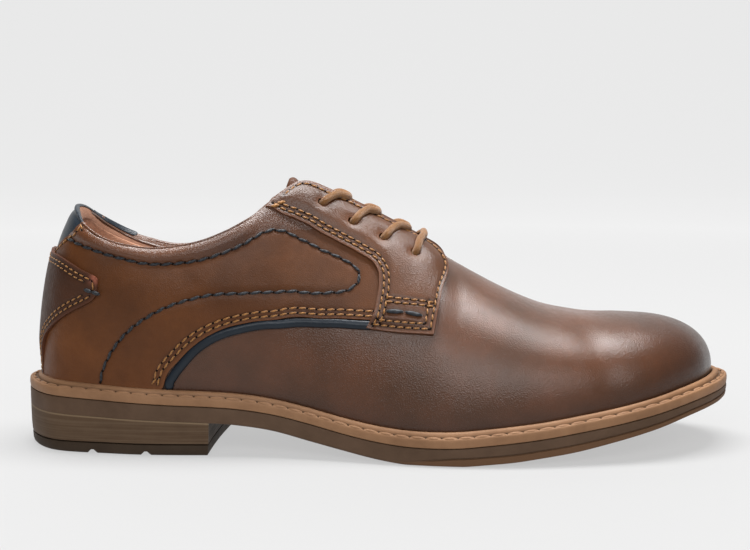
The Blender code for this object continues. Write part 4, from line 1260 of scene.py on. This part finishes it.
def puff(w, v):
    """How much the padded collar stands out above the navy line."""
    seam_w, seam_v = collar_seam(navy_on_quarter[0]).T
    line_v = np.interp(np.abs(w), seam_w, seam_v)
    share = (v - line_v) / np.maximum(ROLL_START - line_v, 0.02)
    from_tab = ramp(np.abs(w), seam_w[0] - 0.02, seam_w[0] + 0.02)
    return COLLAR_PUFF * collar_share(w) * ramp(share, 0.0, 0.55) * from_tab


def quarter_height(w, v):
    """How far a quarter stands off the last, with the collar's padding."""
    return QUARTER_LIFT + puff(w, v)


lining_w = np.linspace(-1.0, 1.0, 361)[None, :]
lining_v = np.linspace(-0.1, 1.0, 56)[:, None]
lining_top = 0.985 - (0.985 - ROLL_START) * collar_share(lining_w)
lining_v = np.where(lining_v > 0.0, lining_v * lining_top, lining_v)
ripples = 0.22 * np.sin(lining_w * 190.0) * np.exp(-(lining_w / 0.16) ** 2)
wrinkle = ripples * ramp(lining_v, 0.35, 0.6) * (1.0 - ramp(lining_v, 0.7, 0.88))
lining_places = lifted(lining_w, lining_v, -inner_depth(lining_w, lining_v) + wrinkle)
bm = carry(lining_places)
turned_w = lining_w[:, np.abs(foot(lining_w)[0][0]) < COLLAR_FRONT]
turns = np.linspace(1.0, LEATHER_TURN - 0.08, 10)[:, None]
shape = (len(turns), turned_w.shape[1])
height = np.broadcast_to(quarter_height(turned_w, np.full_like(turned_w, ROLL_START)) - 0.05, shape)
turned = roll(np.broadcast_to(turned_w, shape), np.broadcast_to(turns, shape), height, np.full(shape, -0.05))
join(bm, carry(turned), 0.02)
face_out(bm)
bmesh.ops.reverse_faces(bm, faces=bm.faces)
# Painted shade on the lining's roll: it gets more light from above than the wall below, and is darkened to
# meet it.
roll_shade = np.exp(-(distance_to(bm, place(turned.reshape(-1, 3))) / 1.5) ** 2)
lining = piece("lining", bm, LINING_LEATHER, paint={"shade": 0.42 * roll_shade})
thicken(lining, 0.5, 0.0)

# %% [markdown]
# ## Quarters, facings, counter and heel tab
# Each panel is a strip between its two edges, laid over the upper at its own height. Seams are
# pressed in as soft valleys, because a tight stitch pulls the leather down. The quarter's top rolls
# over the padded collar, the facing dips at its eyelets and under the lace, and the counter and the
# navy tab go round the heel.

# %% Strips
def strip(lows, highs, columns, rows):
    """Places of a panel between two edges, as arrays of w and v: rows across it, columns along it."""
    low_run = np.linalg.norm(np.diff(surface(*lows.T), axis=0), axis=1)
    high_run = np.linalg.norm(np.diff(surface(*highs.T), axis=0), axis=1)
    run = np.concatenate([[0.0], np.cumsum(np.maximum(low_run, high_run))])
    at = np.linspace(0.0, run[-1], columns)
    low_own = np.concatenate([[0.0], np.cumsum(np.maximum(low_run, 1e-3))])
    high_own = np.concatenate([[0.0], np.cumsum(np.maximum(high_run, 1e-3))])
    low = np.array([smooth(low_own, lows[:, i], np.interp(at, run, low_own)) for i in (0, 1)])
    high = np.array([smooth(high_own, highs[:, i], np.interp(at, run, high_own)) for i in (0, 1)])
    share = np.linspace(0.0, 1.0, rows)[:, None]
    w = low[0] * (1.0 - share) + high[0] * share
    v = np.clip(low[1] * (1.0 - share) + high[1] * share, WELT_TUCK, 0.995)
    return w, v


def at_height(rows, height):
    """Rows of places on the last as points and normals, at one height or at one read from the places."""
    made = []
    for row in rows:
        w, v = row.T
        level = height(w, v) if callable(height) else np.full(len(w), height)
        made.append((lifted(w, v, level), normal(w, v)))
    return made


def seam_dents(rows, height, depth, width):
    """Stitch rows as lines to press into a panel."""
    return [(points, depth, width) for points, _ in at_height(rows, height)]


def panel_seam_shade_and_edge_wear(made, rows, height, edge_wear=0.8):
    """Painted shade in the seams, and cut edges lighter with wear and a painted highlight: the two attributes
    of a leather panel.
    """
    seams = np.vstack([place(points) for points, _ in at_height(rows, height)])
    rim = [v.co.copy() for v in made.verts if v.is_boundary]
    shade = 0.55 * np.exp(-(distance_to(made, seams) / 0.9) ** 2)
    worn = edge_wear * np.exp(-distance_to(made, rim) / 0.9)
    return {"shade": shade, "worn": worn}


print("strip helpers ready")

# %% Quarters
QUARTER_LEATHER_THICKNESS = 1.35
QUARTER_CREASES = (
    (((70.0, 78.0), (78.0, 66.0), (90.0, 60.0)), 0.3, 5.0),
    (((96.0, 86.0), (100.0, 76.0), (110.0, 69.0)), 0.22, 5.0),
    (((30.0, 60.0), (40.0, 50.0), (46.0, 40.0)), 0.2, 7.0),
)
SEAM_SLANT = 0.009
# Painted shade on the quarter's upper part, where the light from above falls more: its strength, and the
# heights over which it grows.
QUARTER_TOP_SHADE = 0.16
QUARTER_SHADE_HEIGHTS = (44.0, 66.0)
COLLAR_REACH = 12.0
COLLAR_OVER = 0.3
LOBE = 0.45


def quarter_dents(index, sign, rows):
    """Seams and creases to press into a quarter."""
    dents = seam_dents(rows, quarter_height, 0.22, 1.0)
    dents += seam_dents([navy_on_quarter[index]], quarter_height, 0.42, 1.7)
    for points, depth, width in QUARTER_CREASES:
        dents.append((lifted(*mark(points, sign, 2.0).T, QUARTER_LIFT), depth, width))
    return dents


def rolled_top(top_w, sign):
    """The quarter's top edge over the padded collar, with a small lobe beside the heel tab."""
    turns = np.linspace(0.0, LEATHER_TURN, 12)[:, None]
    shape = (len(turns), len(top_w))
    height = np.broadcast_to(quarter_height(top_w, np.full_like(top_w, ROLL_START)), shape)
    from_seam = np.abs(top_w - top_w[0])
    slanted = top_w + sign * SEAM_SLANT * turns / LEATHER_TURN * (1.0 - ramp(from_seam, 0.0, 0.03))
    lobe = LOBE * max(sign, 0.0) * ramp(from_seam, 0.0, 0.006) * (1.0 - ramp(from_seam, 0.02, 0.07))
    return roll(slanted, np.broadcast_to(turns, shape), height, np.broadcast_to(lobe, shape))


def polish_collar(quarter, line):
    """Gives the faces above the navy seam the collar's rubbed leather."""
    quarter.data.materials.append(COLLAR_LEATHER)
    tree = tree_of(place(lifted(*collar_seam(line).T, QUARTER_LIFT)))
    for face in quarter.data.polygons:
        nearest, _, away = tree.find(face.center)
        if away < COLLAR_REACH * MM and face.center.z > nearest.z + COLLAR_OVER * MM:
            face.material_index = 1


for index, (side, sign) in enumerate(SIDES.items()):
    w, v = strip(*quarter_edges[side], 330, 96)
    first = int(np.argmax(v[-1] >= ROLL_START - 1e-6))
    places = lifted(w, v, quarter_height(w, v))
    rows = gold_on_quarter[3 * index:3 * index + 3]
    places = places - normal(w, v) * hollow(places, quarter_dents(index, sign, rows))[..., None]
    bm = carry(places)
    join(bm, carry(rolled_top(w[-1, first:], sign)), 0.03)
    bmesh.ops.recalc_face_normals(bm, faces=bm.faces)
    face_out(bm, (90.0, 0.0, 55.0))
    punch(bm, QUARTER_LIFT, EYELET_RADIUS + 0.2)
    paint = panel_seam_shade_and_edge_wear(bm, rows + [navy_on_quarter[index]], quarter_height)
    heights = np.array([vert.co.z for vert in bm.verts]) / MM
    # Painted shade: the quarter is darkened higher up, against the stronger light from above.
    paint["shade"] = np.maximum(paint["shade"], QUARTER_TOP_SHADE * ramp(heights, *QUARTER_SHADE_HEIGHTS))
    quarter = piece(f"quarter_{side}", bm, QUARTER_LEATHER, [f"quarter_{side}"], paint)
    thicken(quarter, QUARTER_LEATHER_THICKNESS, 0.3)
    polish_collar(quarter, navy_on_quarter[index])

# %% Facings
FACING_THICKNESS = 1.4
FACING_PUFF = 0.7


def lace_dents(points, out):
    """How far a facing gives under the lace that lies on it."""
    down = np.zeros(points.shape[:2])
    tree = tree_of(lace_path)
    for spot in np.ndindex(down.shape):
        nearest, _, away = tree.find(points[spot])
        if away < 2.2 * LACE_RADIUS:
            off = points[spot] - np.array(nearest)
            over = float(off @ out[spot])
            beside_it = math.sqrt(max(away ** 2 - over ** 2, 0.0))
            room = math.sqrt(max(LACE_RADIUS ** 2 - beside_it ** 2, 0.0))
            if beside_it < LACE_RADIUS and over < 0.6 * LACE_RADIUS:
                down[spot] = max(over + room, 0.0)
    return np.minimum(down, 1.3)


# height, place along of the facing's front edge
FACING_FRONT = ((51.0, 174.7), (59.4, 176.2), (67.4, 178.0), (77.8, 180.2), (86.0, 180.4))
# height and place along of its low edge, how fast that edge falls forward, and the band of heights
# below which the front edge steps down
FOOT_HEIGHT = 53.2
FOOT_PLACE = 146.4
FOOT_FALL = 0.06
STEP_BAND = (74.0, 81.0)
FACING_STEP = 1.1
THIN_END = 0.9


def facing_height(w, v):
    """The facing lies high on the quarter, and steps down past it to the upper and at its thin back end."""
    t, _, z = np.moveaxis(surface(w, v), -1, 0)
    over_foot = z - FOOT_HEIGHT + FOOT_FALL * (t - FOOT_PLACE)
    behind_front = table(FACING_FRONT, 1, z) - t
    low_part = 1.0 - ramp(z, *STEP_BAND)
    at_front = low_part * (1.0 - ramp(behind_front, 0.0, 11.0))
    step_down = np.maximum(1.0 - ramp(over_foot, 1.0, 5.5), at_front)
    return FACING_LIFT - np.maximum(FACING_STEP * step_down, THIN_END * (1.0 - ramp(t, 105.0, 120.0)))


for index, (side, sign) in enumerate(SIDES.items()):
    w, v = strip(*eyestay_edges[side], 300, 52)
    places = surface(w, v)
    across = np.cumsum(np.linalg.norm(np.diff(places, axis=0, prepend=places[:1]), axis=2), axis=0)
    swell = FACING_PUFF * ramp(across, 4.4, 8.5) * ramp(across[-1:] - across, 1.0, 8.0)
    swell = swell * (0.12 + 0.88 * ramp(places[..., 2], 70.0, 84.0))
    places = lifted(w, v, facing_height(w, v) + swell)
    rows = gold_on_facing[8 * index:8 * index + 8]
    eyelet_spots = [lifted(*eyelet(number, sign), FACING_LIFT)[None, :] for number in range(len(EYELETS))]
    dents = seam_dents(rows, facing_height, 0.25, 0.95) + [(spot, 0.85, 3.4) for spot in eyelet_spots]
    dents += seam_dents([navy_on_facing[index]], facing_height, 0.45, 1.8)
    out = normal(w, v)
    places = places - out * hollow(places, dents)[..., None]
    places = places - out * lace_dents(places, out)[..., None]
    bm = carry(places)
    face_out(bm, (140.0, 0.0, 50.0))
    punch(bm, FACING_LIFT - 0.5, EYELET_RADIUS)
    paint = panel_seam_shade_and_edge_wear(bm, rows + [navy_on_facing[index]], facing_height)
    facing = piece(f"eyestay_{side}", bm, FACING_LEATHER, [f"eyestay_{side}"], paint)
    thicken(facing, FACING_THICKNESS, 0.3)

# %% Counter patch and heel tab
COUNTER_LIFT = 3.0
COUNTER_THINNER = 1.2
COUNTER_CORNER = (35.2, 73.2)
TAB_LIFT = 1.0
# along the shoe: the tab's seam, its deepest wrap and the end of the binding
TAB_PLACES = (30.5, 26.0, 43.0)


def counter_height(w, v):
    """The counter patch thins out towards the welt."""
    return COUNTER_LIFT - COUNTER_THINNER * (1.0 - ramp(surface(w, v)[..., 2], 32.0, 46.0))


w, v = strip(*counter_edges, 220, 48)
places = lifted(w, v, counter_height(w, v))
dents = seam_dents(gold_on_counter, counter_height, 0.22, 0.9)
places = places - normal(w, v) * hollow(places, dents)[..., None]
bm = carry(places)
face_out(bm, (40.0, 0.0, 60.0))
paint = panel_seam_shade_and_edge_wear(bm, gold_on_counter, counter_height, 0.12)
corners = [place(lifted(*locate(*COUNTER_CORNER, sign), COUNTER_LIFT)) for sign in SIDES.values()]
paint["worn"] = np.maximum(paint["worn"], 1.6 * np.exp(-(distance_to(bm, corners) / 2.2) ** 2))
counter = piece("counter_patch", bm, COUNTER_LEATHER, ["counter_patch"], paint)
thicken(counter, 1.4, 0.3)

w, v = strip(*tab_edges, 160, 26)
flat_part = lifted(w, v, TAB_LIFT)
seam_w, deep_w, end_w = (locate(t, None, 1.0, ROLL_START)[0] for t in TAB_PLACES)
wrap = LEATHER_TURN - 0.03 + 0.3 * ramp(w[-1], 0.0, deep_w) * (1.0 - ramp(w[-1], deep_w, seam_w))
turns = np.linspace(0.0, 1.0, 14)[1:, None] * wrap
over_lining = 0.35 - 0.7 * ramp(w[-1], deep_w, seam_w)
shape = turns.shape
top_w = np.broadcast_to(w[-1], shape)
wrapped = roll(top_w, turns, np.full(shape, TAB_LIFT), np.broadcast_to(over_lining, shape))
bm = carry(np.vstack([flat_part, wrapped]))
face_out(bm, (40.0, 0.0, 70.0))
tab = piece("heel_tab", bm, NAVY_LEATHER, ["heel_tab"])
thicken(tab, 0.8, 0.2)

# On the inner side the navy goes on as a narrow binding over the topline.
binding_w = np.linspace(-end_w, -deep_w, 60)[None, :]
closing = 1.0 - ramp(-binding_w, end_w - 0.006, end_w)
turns = 0.42 + np.linspace(-0.2, 0.12, 12)[:, None] * (0.35 + 0.65 * closing)
shape = turns.shape
over_quarter = ramp(-binding_w, deep_w, seam_w)
quarter_top = quarter_height(binding_w, np.full_like(binding_w, ROLL_START))
height = np.broadcast_to(TAB_LIFT + 0.3 + (quarter_top - TAB_LIFT) * over_quarter, shape)
bm = carry(roll(np.broadcast_to(binding_w, shape), turns, height, np.full(shape, 0.6)))
face_out(bm, (40.0, 0.0, 60.0))
binding = piece("tab_binding", bm, NAVY_LEATHER)
thicken(binding, 0.7, 0.2)

# %% [markdown]
# ## Tongue and piping
# The tongue lies under the facings and stands up a little past the top eyelets. A coarse cage of
# places is enough for it, because Subdivision Surface rounds the cage into a soft sheet. The navy
# piping is a flattened cord in the angle between the quarter's curved edge and the upper.

# %% Tongue
TONGUE_TOP = 119.0
TONGUE_FRONT = 198.0
TONGUE_DROP = 3.0
TONGUE_ROOM = 2.6
TONGUE_ACROSS = (0.76, 0.84, 0.92, 0.99)
tongue_rows = []
for t in np.linspace(TONGUE_TOP, TONGUE_FRONT, 14):
    sunk = TONGUE_DROP + TONGUE_ROOM * float(ramp(t, TONGUE_TOP, TONGUE_TOP + 9.0))
    near, far = [], []
    for v in TONGUE_ACROSS:
        w, _ = locate(t, None, 1.0, v)
        near.append(lifted(w, v, -sunk))
        far.append(lifted(-w, v, -sunk))
    ridge = surface(*locate(t, None, edge=1.0))
    middle = np.array([ridge[0] - 0.45 * sunk, 0.0, ridge[2] - 0.85 * sunk])
    if ridge[1] > -3.0:
        near[-1] = near[-2] * 0.6 + middle * 0.4
        far[-1] = far[-2] * 0.6 + middle * 0.4
    tongue_rows.append(np.array(near + [middle] + far[::-1]))
top = tongue_rows[0]
off_middle = np.abs(np.linspace(-1.0, 1.0, len(top))) ** 1.5
# back and up of the rolled top edge, at its middle
TONGUE_CURL = ((0.2, 2.8), (1.0, 5.2), (2.8, 6.2), (4.8, 5.0))
for back, rise in TONGUE_CURL:
    along = -back - 0.6 * back * off_middle
    flare = np.column_stack([along, 0.0 * off_middle, rise * (1.0 - 0.8 * off_middle)])
    tongue_rows.insert(0, top + flare)
bm = carry(np.array(tongue_rows))
face_out(bm, (150.0, 0.0, 40.0))
tongue = piece("tongue", bm, TONGUE_LEATHER, ["tongue"])
thicken(tongue, 1.8, 0.0)
rounding = tongue.modifiers.new("soft", "SUBSURF")
rounding.levels = 2
rounding.render_levels = 2

# %% Cords: piping and lace
def tube(path, across, up, wide, high, count):
    """Rows of a cord's skin round a path, closed at both ends on the middle."""
    angles = np.linspace(0.0, 2.0 * math.pi, count + 1)
    scale = np.ones(len(path))
    scale[:3] = (0.0, 0.75, 0.95)
    scale[-3:] = (0.95, 0.75, 0.0)
    ring_across = np.cos(angles)[None, :, None] * across[:, None, :] * wide
    ring_up = np.sin(angles)[None, :, None] * up[:, None, :] * high
    return path[:, None, :] + (ring_across + ring_up) * scale[:, None, None]


def ahead_of(path):
    """The unit direction along a path at each of its points."""
    step = np.gradient(path, axis=0)
    return step / np.linalg.norm(step, axis=1)[:, None]


PIPING_WIDE = 1.9
PIPING_HIGH = 1.2
PIPING_START = 65.2
for side, sign in SIDES.items():
    start = (sign * float(round_share(PIPING_START)), WELT_TUCK)
    line = trace([start] + [locate(t, z, sign) for t, z in PIPING])
    up = normal(*line.T)
    path = surface(*line.T) + up * (PIPING_HIGH * 0.6)
    across = np.cross(up, ahead_of(path))
    bm = carry_closed(tube(path, across, up, PIPING_WIDE, PIPING_HIGH, 18))
    piece(f"piping_{side}", bm, NAVY_LEATHER, [f"piping_{side}"])

ahead = ahead_of(lace_path)
across = np.empty_like(ahead)
across[0] = np.cross(ahead[0], (0.3, 0.2, 1.0))
for number in range(len(ahead)):
    before = across[max(number - 1, 0)]
    turned = before - ahead[number] * (before @ ahead[number])
    across[number] = turned / np.linalg.norm(turned)
bm = carry_closed(tube(lace_path, across, np.cross(ahead, across), LACE_RADIUS, LACE_RADIUS, 14))
piece("lace", bm, LACE_CORD, ["lace_bar", "lace_cross_1", "lace_cross_2", "lace_cross_3"])

# %% [markdown]
# ## Stitches
# A stitch is a short swelling of thread between two needle holes. There are some six hundred, and
# about as many holes, so one small bead is made with `create_uvsphere`, and its copies are joined as
# arrays into one mesh for each seam. The navy ones are thick and lie a little askew, as hand
# stitches do.

# %% Stitch helper
def bead(around, rings):
    """Arrays of a small sphere: places, face corners, face sizes and UVs."""
    made = bmesh.new()
    layer = made.loops.layers.uv.new("UVMap")
    bmesh.ops.create_uvsphere(made, u_segments=around, v_segments=rings, radius=1.0, calc_uvs=True)
    made.verts.index_update()
    spots = np.array([v.co for v in made.verts])
    corners = np.array([loop.vert.index for f in made.faces for loop in f.loops])
    sizes = np.array([len(f.loops) for f in made.faces])
    spread = np.array([loop[layer].uv for f in made.faces for loop in f.loops])
    made.free()
    return spots, corners, sizes, spread


def sew(name, rows, pitch, size, lift, finish, skew=0.0, at_holes=False, pattern=(8, 6)):
    """Beads along rows of points and normals, between the holes or in them: size is length, width, height."""
    spots, corners, sizes, spread = bead(*pattern)
    placed = []
    for points, ups in rows:
        run = run_of(points)
        count = max(1, round(run[-1] / pitch))
        at = (np.arange(count + at_holes) + (0.0 if at_holes else 0.5)) * run[-1] / count

        def read(values, where_at):
            """Points or normals of the row at some lengths along it."""
            return np.column_stack([np.interp(where_at, run, values[:, i]) for i in range(3)])

        ahead = read(points, at + 0.7) - read(points, at - 0.7)
        ahead /= np.linalg.norm(ahead, axis=1)[:, None]
        up = read(ups, at)
        up -= ahead * (up * ahead).sum(1)[:, None]
        up /= np.linalg.norm(up, axis=1)[:, None]
        across = np.cross(up, ahead)
        ahead = ahead * math.cos(skew) + across * math.sin(skew)
        across = np.cross(up, ahead)
        length = size[0] * run[-1] / count / pitch
        axes = np.stack([across * size[1] / 2.0, up * size[2] / 2.0, ahead * length / 2.0], axis=1)
        centres = read(points, at) + up * lift
        placed.append(centres[:, None, :] + np.einsum("vk,skd->svd", spots, axes))
    places = place(np.concatenate(placed))
    copies = len(places)
    mesh = bpy.data.meshes.new(name)
    mesh.vertices.add(copies * len(spots))
    mesh.vertices.foreach_set("co", places.astype(np.float32).ravel())
    mesh.loops.add(copies * len(corners))
    shift = np.repeat(np.arange(copies) * len(spots), len(corners))
    mesh.loops.foreach_set("vertex_index", np.tile(corners, copies) + shift)
    mesh.polygons.add(copies * len(sizes))
    starts = np.concatenate([[0], np.cumsum(np.tile(sizes, copies))[:-1]])
    mesh.polygons.foreach_set("loop_start", starts)
    mesh.update(calc_edges=True)
    uvs = np.tile(spread, (copies, 1)).astype(np.float32)
    mesh.uv_layers.new(name="UVMap").data.foreach_set("uv", uvs.ravel())
    made = bmesh.new()
    made.from_mesh(mesh)
    bpy.data.meshes.remove(mesh)
    bmesh.ops.recalc_face_normals(made, faces=made.faces)
    print(f"{name}: {copies} of them")
    return piece(name, made, finish)


# %% Sew the rows
HOLE = (1.1, 0.95, 0.5)
quarter_gold = at_height(gold_on_quarter, lambda w, v: quarter_height(w, v) - 0.2)
facing_gold = at_height(gold_on_facing, lambda w, v: facing_height(w, v) - 0.15)
counter_gold = at_height(gold_on_counter, lambda w, v: counter_height(w, v) - 0.2)
sew("stitches_quarter", quarter_gold, 4.0, (3.25, 0.85, 0.75), 0.12, GOLD_THREAD, 0.1)
SMALL_HOLE = (0.8, 0.7, 0.4)
sew("stitches_facing", facing_gold, 3.4, (2.75, 0.8, 0.7), 0.15, GOLD_THREAD, 0.1)
sew("stitches_counter", counter_gold, 2.9, (2.3, 0.7, 0.6), 0.1, GOLD_THREAD, 0.1)
tack_rows = at_height(tack_on_facing, facing_height)
sew("stitches_tack", tack_rows, 3.0, (3.6, 1.5, 1.1), 0.1, GOLD_THREAD, -0.3)
navy_rows = at_height(navy_on_quarter, lambda w, v: quarter_height(w, v) - 0.35)
bar_rows = at_height(navy_on_facing, lambda w, v: facing_height(w, v) - 0.2)
counter_bars = at_height(navy_on_counter, COUNTER_LIFT)
sew("stitches_navy", navy_rows, 5.0, (4.5, 1.3, 1.2), 0.15, NAVY_THREAD, 0.16)
sew("stitches_bar", bar_rows, 7.7, (7.4, 1.9, 1.7), 0.25, NAVY_THREAD)
sew("stitches_counter_bar", counter_bars, 3.6, (3.7, 1.7, 1.5), 0.1, NAVY_THREAD)
# Painted shadow: a flat near-black bead sits in each needle hole, which is not cut.
sew("hole_shadows_quarter", quarter_gold, 4.0, HOLE, 0.02, NEEDLE_HOLE_SHADOW, 0.0, True, (6, 4))
sew("hole_shadows_facing", facing_gold, 3.4, HOLE, 0.02, NEEDLE_HOLE_SHADOW, 0.0, True, (6, 4))
sew("hole_shadows_counter", counter_gold, 2.9, SMALL_HOLE, 0.02, NEEDLE_HOLE_SHADOW, 0.0, True, (6, 4))
sew("hole_shadows_navy", navy_rows, 5.0, (1.2, 1.3, 0.6), 0.05, NEEDLE_HOLE_SHADOW, 0.0, True, (6, 4))

# %% [markdown]
# The welt's stitches are only moulded: a row of plump tan lumps along the outer edge of its flat
# band, each a little over six millimetres long. They are the same beads as the stitches, larger
# and of the welt's own resin.

# %% Moulded stitches of the welt
LUMP_ROUND = np.linspace(-0.997, 0.997, 900)
lump_path = ring(0.42 * WELT_BAND + 0.35, above(sole_top, 4.15), 1.0, LUMP_ROUND)
lump_up = np.tile((0.0, 0.0, 1.0), (len(lump_path), 1))
lump_rows = [(lump_path, lump_up)]
sew("welt_lumps", lump_rows, 6.6, (6.3, 1.7, 1.5), 0.0, WELT_RESIN, 0.0, False, (10, 8))
sew("welt_nicks", lump_rows, 6.6, (0.7, 1.6, 0.8), 0.12, WELT_NICK, 0.5, True, (6, 4))

# %% [markdown]
# ## Bring the scene up to date
# The last line updates the view layer, so every piece stands at its final place.

# %% Finish
bpy.context.view_layer.update()
